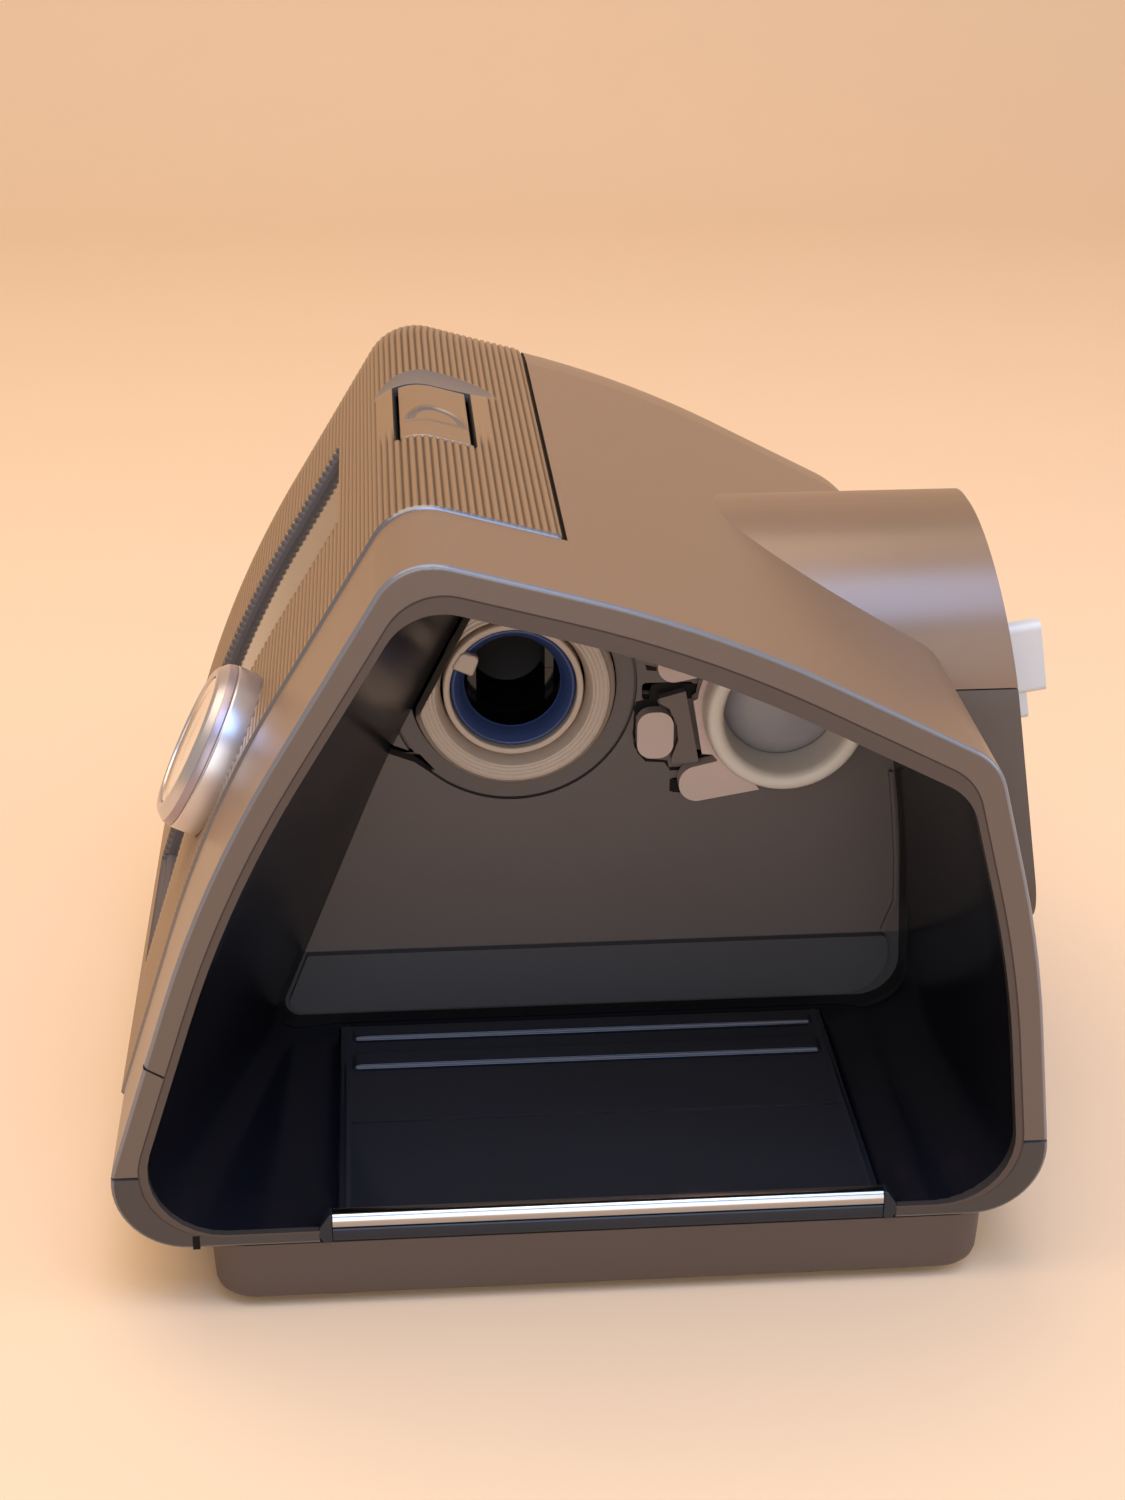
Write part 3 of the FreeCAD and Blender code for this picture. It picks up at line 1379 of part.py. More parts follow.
def duct_sections(body, step):
    """Circles along the outlet axis, from the drum behind the return port to the hose port."""
    result = []
    for x, along, radius in ((size.duct_x, 2, DUCT_OUTER - 0.4), (size.duct_x + 1.4, 21.6, 8.2),
                             (size.boss_x, CUP_FLOOR - 0.3, size.outlet_radius - 0.6)):
        sketch = sketch_on(body, "XY", along)
        circle(sketch, x, 0, radius - step)
        result.append(sketch)
    return result


def outlet_duct():
    body = new_body("outlet_duct")
    drum = sketch_on(body, "YZ", DRUM_FAR)
    circle(drum, 0, 0, DUCT_OUTER)
    pad(body, drum, DRUM_NEAR - DRUM_FAR)
    loft(body, duct_sections(body, sized(0)))
    doc.recompute()
    bore = sketch_on(body, "YZ", DRUM_FAR + size.duct_wall)
    circle(bore, 0, 0, size.return_bore)
    cut(body, bore)
    loft(body, duct_sections(body, size.duct_wall), remove=True)
    doc.recompute()
    seat(body, 0, size.return_y, RETURN_Z, size.outlet_lean - 90)


BOSS_REACH = (size.boss_end_y - size.return_y) / cosine(size.outlet_lean)
CUP_DEPTH = 12
CUP_FLOOR = BOSS_REACH - CUP_DEPTH
LIP_LOW = -size.wall - size.fit_gap - 1.4


def outlet_port():
    body = new_body("outlet_port")
    outer = size.collar_radius
    inner = size.collar_radius - 1.2
    bore = size.outlet_radius - size.duct_wall
    ring_profile(body, [
        (bore, -CUP_DEPTH), (outer, -CUP_DEPTH), (outer, LIP_LOW), (outer + PORT_LIP, LIP_LOW),
        (outer + PORT_LIP, -size.wall - size.fit_gap), (outer, -size.wall - size.fit_gap),
        (outer, size.collar_wall - 0.6), (outer - 0.6, size.collar_wall), (inner, size.collar_wall),
        (inner, 1.6 - CUP_DEPTH), (size.outlet_radius, 1.6 - CUP_DEPTH), (size.outlet_radius, 1.4),
        (size.outlet_radius - 0.6, 2.0), (bore, 2.0)])
    grip = sketch_on(body, "XY", size.collar_wall - 0.6)
    outline(grip, rectangle(outer - 3.2, outer + 0.6, -size.grip_width, 2.4), 1.2)
    pad(body, grip, 6)
    tongue = sketch_on(body, "XY", size.collar_wall - 0.6)
    outline(tongue, rectangle(outer - 3.0, outer + 0.2, 1.0, 7.4), 1.2)
    pad(body, tongue, 2.4)
    seat(body, size.boss_x, size.boss_end_y, size.boss_z, size.outlet_lean - 90)


# ---------------------------------------------------------------------------------------------
# Lever and latch beside the return port
# ---------------------------------------------------------------------------------------------
LEVER_DEEP = 3
LEVER_RING = 1
PADDLES = [
    ([(-19.3, -19.4), (-4.0, -16.8), (-9.0, -10.0), (-18.9, -12.4)], [3.4, None, None, 3.4]),
    ([(-24.0, 4.4), (-9.0, 7.5), (-9.0, 14.5), (-22.6, 12.5)], [3.0, None, None, 3.0]),
    ([(-14.9, -9.2), (-11.0, -9.6), (-11.0, 4.4), (-13.4, 3.4), (-16.7, 1.4)], None),
]


def port_lever():
    """A collar on the return port with two rounded paddles and a flat side, drawn round the port's axis."""
    body = new_body("port_lever")
    ring = sketch_on(body, "YZ", 0)
    circle(ring, 0, 0, size.return_radius + LEVER_RING)
    pad(body, ring, LEVER_DEEP)
    for corners, radii in PADDLES:
        paddle = sketch_on(body, "YZ", 0)
        outline(paddle, corners, radii)
        pad(body, paddle, LEVER_DEEP)
    hole = sketch_on(body, "YZ", 0)
    circle(hole, 0, 0, size.return_radius + size.shaft_slack)
    cut(body, hole)
    seat(body, size.bay_back_x + size.fit_gap, size.return_y, RETURN_Z)


LATCH_BAR = [(3.35, -6.2), (8.25, -6.0), (5.55, 8.3), (0.65, 7.0), (0.95, 5.9), (2.6, 4.9), (4.05, 1.6),
             (4.35, -1.5), (3.15, -5.1)]
LATCH_BAR_WALL = 2.2
LATCH_PROUD = 3


def latch():
    body = new_body("latch_button")
    oval = sketch_on(body, "YZ", size.bay_back_x - size.panel_wall)
    outline(oval, inset(LATCH_SLOT, sized(0.4)), 2.8)
    pad(body, oval, size.panel_wall + LATCH_PROUD)
    stop = sketch_on(body, "YZ", size.bay_back_x - size.panel_wall - size.fit_gap - 1.2)
    outline(stop, inset(LATCH_SLOT, sized(-1)), 2.8)
    pad(body, stop, 1.2 + size.fit_gap)
    bar = new_body("latch_bar")
    sketch = sketch_on(bar, "YZ", size.bay_back_x)
    outline(sketch, beside(LATCH_Y, LATCH_Z, LATCH_BAR))
    pad(bar, sketch, LATCH_BAR_WALL)


# ---------------------------------------------------------------------------------------------
# Blower
# ---------------------------------------------------------------------------------------------
BLOWER = (size.volute_x, size.port_y + 22)
HALF = size.volute_height / 2
OUTLET_HALF = 8
MOTOR_NECK = 2
DECK_WALL = 2
DECK_Z = size.port_z - HALF - size.fit_gap - MOTOR_NECK - size.motor_height - DECK_WALL


def volute_outline(body, at, step):
    """The snail outline of the blower housing, moved in by a step."""
    x, y = BLOWER
    reach = size.volute_radius - 2 - step
    low = size.port_y - OUTLET_HALF + step
    sketch = sketch_on(body, "XY", at)
    outline(sketch, rectangle(x - reach, x + reach, low, y + reach), [reach - 1, None, reach - 1, reach - 1])
    return sketch


def volute_outlet(body, at, step):
    """The straight outlet of the blower housing, from its axis to the port."""
    sketch = sketch_on(body, "XY", at)
    outline(sketch, rectangle(size.volute_x, DUCT_JOINT_X - size.fit_gap, size.port_y - OUTLET_HALF + step,
                              size.port_y + OUTLET_HALF - step))
    return sketch


def housing(name, low, high, floor):
    """One half of the blower housing, with its floor or roof."""
    body = new_body(name)
    wall = size.volute_wall
    pad(body, volute_outline(body, low, sized(0)), high - low)
    pad(body, volute_outlet(body, low, sized(0)), high - low)
    start = low + (wall if floor else 0)
    cut(body, volute_outline(body, start, wall), high - low - wall)
    cut(body, volute_outlet(body, start, wall), high - low - wall)
    eye = sketch_on(body, "XY", low)
    circle(eye, BLOWER[0], BLOWER[1], 4 if floor else size.eye_radius)
    cut(body, eye, high - low)


def blower():
    low = size.port_z - HALF
    housing("blower_lower", low, size.port_z, True)
    housing("blower_upper", size.port_z + size.fit_gap / 3, size.port_z + HALF, False)
    wheel = new_body("impeller")
    disc = sketch_on(wheel, "XY", 0)
    circle(disc, 0, 0, size.impeller_radius)
    pad(wheel, disc, 1.2)
    hub = sketch_on(wheel, "XY", 0)
    circle(hub, 0, 0, 5)
    pad(wheel, hub, size.blade_height)
    shaft = sketch_on(wheel, "XY", -14)
    circle(shaft, 0, 0, size.spindle_radius)
    pad(wheel, shaft, 16)
    blade = sketch_on(wheel, "XY", 0)
    outline(blade, [(4, -0.6), (size.impeller_radius - 1.5, -6.6), (size.impeller_radius - 0.8, -5.6), (4, 0.6)])
    vane = pad(wheel, blade, size.blade_height)
    doc.recompute()
    fan = wheel.newObject("PartDesign::PolarPattern", "impeller_blades")
    fan.Originals = [vane]
    fan.Axis = (blade, ["N_Axis"])
    fan.Angle = 360
    fan.Occurrences = 9
    wheel.Tip = fan
    doc.recompute()
    seat(wheel, BLOWER[0], BLOWER[1], low + size.volute_wall + 2)
    motor = new_body("blower_motor")
    top = low - size.fit_gap
    for radius, start, end in ((size.motor_radius, DECK_Z + DECK_WALL, top - MOTOR_NECK),
                               (size.motor_radius / 2, top - MOTOR_NECK - 1, top)):
        drum = sketch_on(motor, "XY", start)
        circle(drum, BLOWER[0], BLOWER[1], radius)
        pad(motor, drum, sized(end) - start)
    bore = sketch_on(motor, "XY", top - 14)
    circle(bore, BLOWER[0], BLOWER[1], size.spindle_radius + size.shaft_slack)
    cut(motor, bore)


LEGS = [(-65, -21), (-65, 33), (7, -21), (7, 33)]


def blower_deck():
    body = new_body("blower_deck")
    plate = sketch_on(body, "XY", DECK_Z)
    outline(plate, rectangle(-68, 10, -24, 36), 3)
    pad(body, plate, DECK_WALL)
    for x, y in LEGS:
        leg = sketch_on(body, "XY", FLOOR_Z)
        outline(leg, rectangle(x - 2.8, x + 2.8, y - 2.8, y + 2.8))
        pad(body, leg, DECK_Z + 1 - FLOOR_Z)


def main_board():
    body = new_body("main_board")
    sheet_shape = sketch_on(body, "XY", size.board_z)
    outline(sheet_shape, rectangle(-60, 2, -36, 40), 2)
    pad(body, sheet_shape, size.board_wall)
    parts = new_body("board_parts")
    top = size.board_z + size.board_wall
    for x, y, wide, deep, tall in ((-46, -20, 16, 12, 9), (-46, 12, 12, 20, 12), (-20, -22, 14, 14, 2.4),
                                   (-22, 10, 18, 18, 6), (-6, 28, 8, 12, 10)):
        chip = sketch_on(parts, "XY", top)
        outline(chip, rectangle(x - wide / 2, x + wide / 2, y - deep / 2, y + deep / 2))
        pad(parts, chip, tall)


# ---------------------------------------------------------------------------------------------
# Air filter and power inlet
# ---------------------------------------------------------------------------------------------
def filter_pieces():
    gap = size.fit_gap
    door = strip("filter_door", (FILTER_X[0] + gap, FILTER_X[1] - gap), sized(0), size.wall - gap)
    keep(door, y=(REAR_SIDE_Y, None), z=(FILTER_Z[0] + gap, FILTER_Z[1] - gap))
    for index in range(5):
        z = size.filter_z + (index - 2) * 6
        slot = sketch_on(door, "XZ", DEEP / 2)
        outline(slot, rectangle(FILTER_X[0] + 3, FILTER_X[1] - 3, z - 1, z + 1), 0.9)
        cut(door, slot, DEEP / 2 - REAR_SIDE_Y)
    pad_in = size.wall + gap
    pad_out = pad_in + size.filter_wall
    pad_body = strip("filter_pad", (FILTER_X[0] + 2, FILTER_X[1] - 2), pad_in, pad_out)
    keep(pad_body, y=(REAR_SIDE_Y, None), z=(FILTER_Z[0] + 2, FILTER_Z[1] - 2))
    frame = strip("filter_frame", (FILTER_X[0] - 2.5, FILTER_X[1] + 2.5), pad_in, pad_out + 1)
    keep(frame, y=(REAR_SIDE_Y, None), z=(FILTER_Z[0] - 2.5, FILTER_Z[1] + 2.5))
    window = sketch_on(frame, "XZ", DEEP / 2)
    outline(window, rectangle(FILTER_X[0] + 1, FILTER_X[1] - 1, FILTER_Z[0] + 1, FILTER_Z[1] - 1))
    cut(frame, window, DEEP / 2 - REAR_SIDE_Y)


def power_inlet():
    body = new_body("power_inlet")
    face = skin_y(INLET_Z)
    ring = sketch_on(body, "XZ", face - 0.5)
    circle(ring, INLET_X, INLET_Z, INLET_RADIUS)
    pad(body, ring, 14)
    hole = sketch_on(body, "XZ", face)
    circle(hole, INLET_X, INLET_Z, INLET_RADIUS - 1.4)
    cut(body, hole, 11)
    contact = sketch_on(body, "XZ", face - 3)
    circle(contact, INLET_X, INLET_Z, 1.1)
    pad(body, contact, 11)


def skin_y(z):
    """Y of the rear wall at a height below its middle."""
    part = (sized(z) - size.tray_z) / (size.rear_mid_z - size.tray_z)
    return size.rear_low_y + (size.rear_mid_y - size.rear_low_y) * part


# ---------------------------------------------------------------------------------------------
# Build every piece, check it and save it
# ---------------------------------------------------------------------------------------------
for build in (main_casing, rear_cover, base_tray, plinth, case_screws, rubber_mat, ribbed_fascia,
              power_button, power_switch, channel_frame, display_glass, control_board, knob_pieces,
              bay_liner, bay_back_panel, heater, heater_springs, catch_bar, ports, port_lever, latch,
              outlet_duct, outlet_port, blower, blower_deck, main_board, filter_pieces, power_inlet):
    build()
doc.recompute()

for item in doc.Objects:
    if "Invalid" in item.State or "Error" in item.State:
        raise RuntimeError("%s failed to build" % item.Name)

os.makedirs("parts", exist_ok=True)
for piece in PIECES:
    shape = piece.Shape
    if shape.isNull() or not shape.isValid():
        raise RuntimeError("%s has no valid shape" % piece.Label)
    shape.exportStep("parts/%s.step" % piece.Label)
    print("%-18s %d solids, %d faces" % (piece.Label, len(shape.Solids), len(shape.Faces)))
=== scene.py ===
# %% [markdown]
# # A bedside airway pressure machine
# The real machine is a wedge-shaped plastic housing with a ribbed front, a rotary knob, a sunk display
# and an open bay at one end where a water tub slides in. The engineering model already gives every solid
# its true place, so this lesson loads it as a fixed frame, keeps what is right, and swaps the pieces that
# need finer surfaces for new ones that are worked out as grids of points.

# %% Load the frame
import math

import bmesh
import bpy
import numpy as np
from mathutils import Matrix, Vector


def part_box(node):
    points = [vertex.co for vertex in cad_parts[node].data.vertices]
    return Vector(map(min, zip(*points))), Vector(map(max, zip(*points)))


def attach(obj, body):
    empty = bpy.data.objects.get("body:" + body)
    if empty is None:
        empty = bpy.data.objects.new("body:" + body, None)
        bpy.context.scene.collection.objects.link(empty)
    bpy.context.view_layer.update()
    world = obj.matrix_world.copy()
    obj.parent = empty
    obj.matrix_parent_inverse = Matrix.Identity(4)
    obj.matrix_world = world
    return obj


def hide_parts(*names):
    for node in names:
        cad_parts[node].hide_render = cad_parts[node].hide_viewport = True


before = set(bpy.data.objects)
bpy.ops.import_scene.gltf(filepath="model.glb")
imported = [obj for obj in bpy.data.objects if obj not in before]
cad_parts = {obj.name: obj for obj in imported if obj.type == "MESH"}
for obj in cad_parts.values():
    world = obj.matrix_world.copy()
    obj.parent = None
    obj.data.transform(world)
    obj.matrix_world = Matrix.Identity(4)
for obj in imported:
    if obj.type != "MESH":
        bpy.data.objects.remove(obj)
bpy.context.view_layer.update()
MM = 0.001

# %% [markdown]
# ## Camera
# A camera is a place, a direction and a focal length. Looking almost along -X and down by 24 degrees shows
# the open bay, the ribbed front on the left and the round outlet on the right. The sensor is 36 mm wide and
# the lens 80 mm long, which is what makes the near rim look larger than the far end.

# %% Camera
CAMERA_PLACE = (0.4355, -0.0302, 0.2604)
CAMERA_DOWN = math.radians(24.15)
CAMERA_YAW = math.radians(4.28)
SENSOR_WIDTH = 36.0
LENS = 80.0


def looking_matrix(place, down, yaw):
    """Columns right, up and back of a camera that looks along -X, turned by yaw and tilted down."""
    ahead = Vector((-math.cos(down) * math.cos(yaw), math.cos(down) * math.sin(yaw), -math.sin(down)))
    right = Vector((math.sin(yaw), math.cos(yaw), 0.0))
    up = right.cross(ahead)
    turn = Matrix((right, up, -ahead)).transposed()
    return Matrix.Translation(place) @ turn.to_4x4()


lens = bpy.data.cameras.new("camera")
lens.sensor_fit = "HORIZONTAL"
lens.sensor_width = SENSOR_WIDTH
lens.lens = LENS
lens.clip_start = 0.01
camera = bpy.data.objects.new("camera", lens)
camera.matrix_world = looking_matrix(CAMERA_PLACE, CAMERA_DOWN, CAMERA_YAW)
bpy.context.scene.collection.objects.link(camera)
bpy.context.scene.camera = camera
bpy.context.scene.view_settings.view_transform = "Standard"
print("camera at", CAMERA_PLACE)

# %% [markdown]
# ## Helpers for meshes
# Nearly every new piece is one of three things: a grid of points that follows a formula, a half section
# turned round an axis like work on a lathe, or an outline given a thickness like a punched plate. One small
# function makes each kind. Sizes are written in millimetres and turned into metres in one place.


# %% Helper for grids
def add_object(name, points, faces, smooth=True):
    """An object from points in millimetres and faces given as lists of point numbers."""
    mesh = bpy.data.meshes.new(name)
    mesh.from_pydata((np.asarray(points, dtype=float) * MM).tolist(), [], faces)
    mesh.polygons.foreach_set("use_smooth", np.full(len(mesh.polygons), smooth))
    mesh.update()
    made = bpy.data.objects.new(name, mesh)
    bpy.context.scene.collection.objects.link(made)
    return made


def grid_faces(rows, columns, closed=False):
    """Each cell of four neighbours becomes a face: (i, j), (i, j+1), (i+1, j+1), (i+1, j)."""
    number = np.arange(rows * columns).reshape(rows, columns)
    if closed:
        number = np.hstack([number, number[:, :1]])
    cells = np.stack([number[:-1, :-1], number[:-1, 1:], number[1:, 1:], number[1:, :-1]], axis=-1)
    return cells.reshape(-1, 4)


def grid_mesh(name, points, smooth=True):
    """A mesh from a grid of points (rows, columns, 3)."""
    return add_object(name, points.reshape(-1, 3), grid_faces(*points.shape[:2]).tolist(), smooth)


def points_of(made):
    """The points of a piece in millimetres, one row each."""
    flat = np.empty(len(made.data.vertices) * 3)
    made.data.vertices.foreach_get("co", flat)
    return flat.reshape(-1, 3) / MM


def change(made, operation):
    """Runs an operation of bmesh on a piece."""
    work = bmesh.new()
    work.from_mesh(made.data)
    operation(work)
    work.to_mesh(made.data)
    work.free()


# %% Helper for turned pieces
SAME_PLACE = 1e-6


def turned(name, profile, centre, axis, steps):
    """Turns a half section of (radius, height) pairs: centre + height * axis + radius * (cos, sin)."""
    axis = np.asarray(axis, dtype=float)
    side = np.cross(axis, (0.0, 0.0, 1.0))
    side = side / np.linalg.norm(side)
    other = np.cross(axis, side)
    angle = np.arange(steps) * 2 * math.pi / steps
    ring = np.cos(angle)[:, None] * side + np.sin(angle)[:, None] * other
    radius, height = np.asarray(profile, dtype=float).T
    points = (np.asarray(centre, dtype=float) + height[:, None, None] * axis
              + radius[:, None, None] * ring[None, :, :])
    made = add_object(name, points.reshape(-1, 3), grid_faces(len(radius), steps, closed=True).tolist())
    if min(radius[0], radius[-1]) < SAME_PLACE:
        change(made, lambda work: bmesh.ops.remove_doubles(work, verts=work.verts, dist=SAME_PLACE))
    return made


def softened(points, radius, steps=4):
    """A polyline whose inner corners are rounded: (1 - t)^2 entry + 2 t (1 - t) corner + t^2 leave."""
    t = np.linspace(0.0, 1.0, steps)[:, None]
    points = [np.asarray(p, dtype=float) for p in points]
    result = [points[:1]]
    for before, here, after in zip(points[:-2], points[1:-1], points[2:]):
        to_before = before - here
        to_after = after - here
        reach = min(radius, np.linalg.norm(to_before) * 0.45, np.linalg.norm(to_after) * 0.45)
        entry = here + to_before / np.linalg.norm(to_before) * reach
        leave = here + to_after / np.linalg.norm(to_after) * reach
        result.append((1 - t) ** 2 * entry + 2 * t * (1 - t) * here + t ** 2 * leave)
    return np.concatenate([*result, points[-1:]])


# %% Helper for outlines with rounded corners
def rounded(corners, radii, steps):
    """A closed outline with an arc at each corner: centre + radius * (cos a, sin a) over its turn."""
    corners = [np.asarray(c, dtype=float) for c in corners]
    count = len(corners)
    share = np.linspace(0.0, 1.0, steps)
    result = []
    for index, here in enumerate(corners):
        radius = radii[index] if isinstance(radii, (list, tuple)) else radii
        before = here - corners[index - 1]
        after = corners[(index + 1) % count] - here
        before = before / np.linalg.norm(before)
        after = after / np.linalg.norm(after)
        cross = before[0] * after[1] - before[1] * after[0]
        turn = math.atan2(cross, float(before @ after))
        if not radius:
            result.append(here[None, :])
            continue
        reach = radius * math.tan(abs(turn) / 2)
        side = 1.0 if turn > 0 else -1.0
        centre = here - before * reach + np.array([-before[1], before[0]]) * radius * side
        start = math.atan2(*(here - before * reach - centre)[::-1])
        angle = start + turn * share
        result.append(centre + radius * np.column_stack([np.cos(angle), np.sin(angle)]))
    return np.concatenate(result)


# %% Helper for plates
SHARP_ANGLE = math.radians(35)


def capped(rings):
    """Faces of a stack of rings (rings, points, 3): the side, and one face across each end."""
    count = rings.shape[1]
    ends = [list(range(count))[::-1], list(range((len(rings) - 1) * count, len(rings) * count))]
    return grid_faces(len(rings), count, closed=True).tolist() + ends


def plate(name, outline, spot, low, high, edge, segments):
    """An outline given a thickness: spot(a, b, h) turns outline places and a height into points."""
    a, b = np.asarray(outline, dtype=float).T
    rings = np.stack([np.stack(np.broadcast_arrays(*spot(a, b, h)), axis=-1) for h in (low, high)])
    made = add_object(name, rings.reshape(-1, 3), capped(rings))
    face_outwards(made)
    bevel = made.modifiers.new("edge", "BEVEL")
    bevel.width = edge * MM
    bevel.segments = segments
    bevel.limit_method = "ANGLE"
    bevel.angle_limit = SHARP_ANGLE
    bevel.harden_normals = True
    return made


def face_outwards(made):
    """Turns every face of a closed piece so that its normal points out."""
    change(made, lambda work: bmesh.ops.recalc_face_normals(work, faces=work.faces))


def facing_x(y, z):
    """A place function for plates and rings that face along +X, drawn round a point (y, z)."""
    return lambda a, b, h: (h, y + a, z + b)


IN_PLACE = facing_x(0.0, 0.0)


# %% Helper for finish, body and nodes
def stand_for(made, finish, body, *nodes):
    """Gives a piece its finish and body, and hides the nodes that it stands for."""
    made.data.materials.clear()
    made.data.materials.append(finish)
    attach(made, body)
    if nodes:
        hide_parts(*nodes)
    return made


# %% [markdown]
# ## Floor, backdrop and lamps
# Satin plastic is drawn by what it mirrors, so the studio matters: a large warm lamp above, a weak one in
# front, a cool one from the right, a small blue one aimed at the outlet's boss, and a pale sweep behind. The
# sweep is a flat floor that curls up into a wall, so that no horizon line crosses the view. It could be
# sculpted, but one profile carried sideways is exact and needs only two columns of points.

# %% Floor and backdrop
FLOOR_NEAR, FLOOR_FAR, SWEEP_RADIUS, WALL_HEIGHT, HALF_WIDTH = 1200.0, -750.0, 450.0, 1600.0, 1800.0
BEND_STEPS = 24


def sweep_points():
    """The sweep's profile: a straight floor, a quarter circle and a straight wall, carried along Y."""
    bend = np.linspace(0.0, math.pi / 2, BEND_STEPS)
    x = np.concatenate([[FLOOR_NEAR], FLOOR_FAR - SWEEP_RADIUS * np.sin(bend), [FLOOR_FAR - SWEEP_RADIUS]])
    z = np.concatenate([[0.0], SWEEP_RADIUS * (1 - np.cos(bend)), [WALL_HEIGHT]])
    side = np.array([-HALF_WIDTH, HALF_WIDTH])
    return np.stack(np.broadcast_arrays(x[:, None], side[None, :], z[:, None]), axis=-1)


backdrop = grid_mesh("backdrop", sweep_points())
print("backdrop faces", len(backdrop.data.polygons))


# %% Lamps
def soft_lamp(name, place, target, size, power, colour):
    """A square area lamp that faces a target."""
    lamp = bpy.data.lights.new(name, "AREA")
    lamp.shape = "SQUARE"
    lamp.size = size
    lamp.energy = power
    lamp.color = colour
    made = bpy.data.objects.new(name, lamp)
    made.location = place
    made.rotation_euler = (Vector(target) - Vector(place)).to_track_quat("-Z", "Y").to_euler()
    bpy.context.scene.collection.objects.link(made)


MIDDLE = (0.0, 0.0, 0.07)
BOSS = (0.01, 0.07, 0.10)
soft_lamp("lamp_above", (-0.05, -0.25, 1.0), MIDDLE, 1.0, 8.0, (1.0, 0.83, 0.63))
soft_lamp("lamp_front", (1.1, -0.1, 0.40), MIDDLE, 0.8, 4.2, (0.90, 0.94, 1.0))
soft_lamp("lamp_boss", (0.50, 0.16, 1.00), BOSS, 0.60, 6.5, (0.30, 0.52, 1.0))
soft_lamp("lamp_right", (0.25, 1.0, 0.45), MIDDLE, 0.6, 4.0, (0.72, 0.84, 1.0))
print("lamps", [lamp.name for lamp in bpy.data.lights])


# %% Helper for nodes
def add_node(tree, kind, inputs=(), **settings):
    """A node with its settings made and its inputs linked or given a value, in the order of the pairs."""
    node = tree.nodes.new(kind)
    for key, value in settings.items():
        setattr(node, key, value)
    for socket, value in inputs:
        if isinstance(value, bpy.types.NodeSocket):
            tree.links.new(value, node.inputs[socket])
        else:
            node.inputs[socket].default_value = value
    return node


# %% Light of the room
ROOM_LIGHT, ROOM_STRENGTH = (1.0, 0.90, 0.78, 1.0), 0.42
ROOM_SEEN = (0.90, 0.74, 0.58, 1.0)
world = bpy.data.worlds.new("room")
world.use_nodes = True
room = world.node_tree
lighting = room.nodes["Background"]
lighting.inputs["Color"].default_value = ROOM_LIGHT
lighting.inputs["Strength"].default_value = ROOM_STRENGTH
seen = add_node(room, "ShaderNodeBackground", [("Color", ROOM_SEEN)])
ray = add_node(room, "ShaderNodeLightPath").outputs["Is Camera Ray"]
either = add_node(room, "ShaderNodeMixShader", [("Fac", ray), (1, lighting.outputs["Background"]),
                                                (2, seen.outputs["Background"])])
room.links.new(either.outputs["Shader"], room.nodes["World Output"].inputs["Surface"])
bpy.context.scene.world = world
print("the room gives light of strength", ROOM_STRENGTH)

# %% [markdown]
# ## Plastics, metal and rubber
# Most of the machine is moulded plastic with a satin skin. A mould that is lightly spark-eroded leaves a
# grain of about 0.3 mm, flow leaves slow changes of tone, and handling polishes the skin unevenly, so each
# finish has one fine noise for the bump and one broad noise for the colour and the gloss. An image texture
# could hold the same, but noise on Object coordinates needs no unwrapping and never repeats.


# %% Helper for materials
def material(name, colour, roughness, metallic=0.0, **sockets):
    """A Principled material; extra sockets are given by their label with spaces as underscores."""
    made = bpy.data.materials.new(name)
    made.use_nodes = True
    shader = made.node_tree.nodes["Principled BSDF"]
    shader.inputs["Base Color"].default_value = (*colour, 1.0)
    shader.inputs["Roughness"].default_value = roughness
    shader.inputs["Metallic"].default_value = metallic
    for label, value in sockets.items():
        shader.inputs[label.replace("_", " ")].default_value = value
    return made


BROAD_SCALE = 28.0


def moulded(name, colour, roughness, metallic=0.0, size=0.35, height=0.012, tone=0.10, gloss=0.06, **sockets):
    """Adds grain of a size and height in mm, and slow changes of tone and gloss, on Object coordinates."""
    made = material(name, colour, roughness, metallic, **sockets)
    tree = made.node_tree
    shader = tree.nodes["Principled BSDF"]
    where = add_node(tree, "ShaderNodeTexCoord").outputs["Object"]
    fine = add_node(tree, "ShaderNodeTexNoise",
                    [("Vector", where), ("Scale", 1.0 / (size * MM)), ("Detail", 2.0)])
    bump = add_node(tree, "ShaderNodeBump",
                    [("Height", fine.outputs["Fac"]), ("Distance", height * MM), ("Strength", 1.0)])
    tree.links.new(bump.outputs["Normal"], shader.inputs["Normal"])
    broad = add_node(tree, "ShaderNodeTexNoise", [("Vector", where), ("Scale", BROAD_SCALE), ("Detail", 3.0)])
    dark = tuple(c * (1 - tone) for c in colour)
    light = tuple(c * (1 + tone) for c in colour)
    mixed = add_node(tree, "ShaderNodeMix", [("Factor", broad.outputs["Fac"]), ("A", (*dark, 1.0)),
                                             ("B", (*light, 1.0))], data_type="RGBA")
    tree.links.new(mixed.outputs["Result"], shader.inputs["Base Color"])
    shine = add_node(tree, "ShaderNodeMapRange", [("Value", broad.outputs["Fac"])])
    shine.inputs["To Min"].default_value = roughness - gloss
    shine.inputs["To Max"].default_value = roughness + gloss
    tree.links.new(shine.outputs["Result"], shader.inputs["Roughness"])
    return made


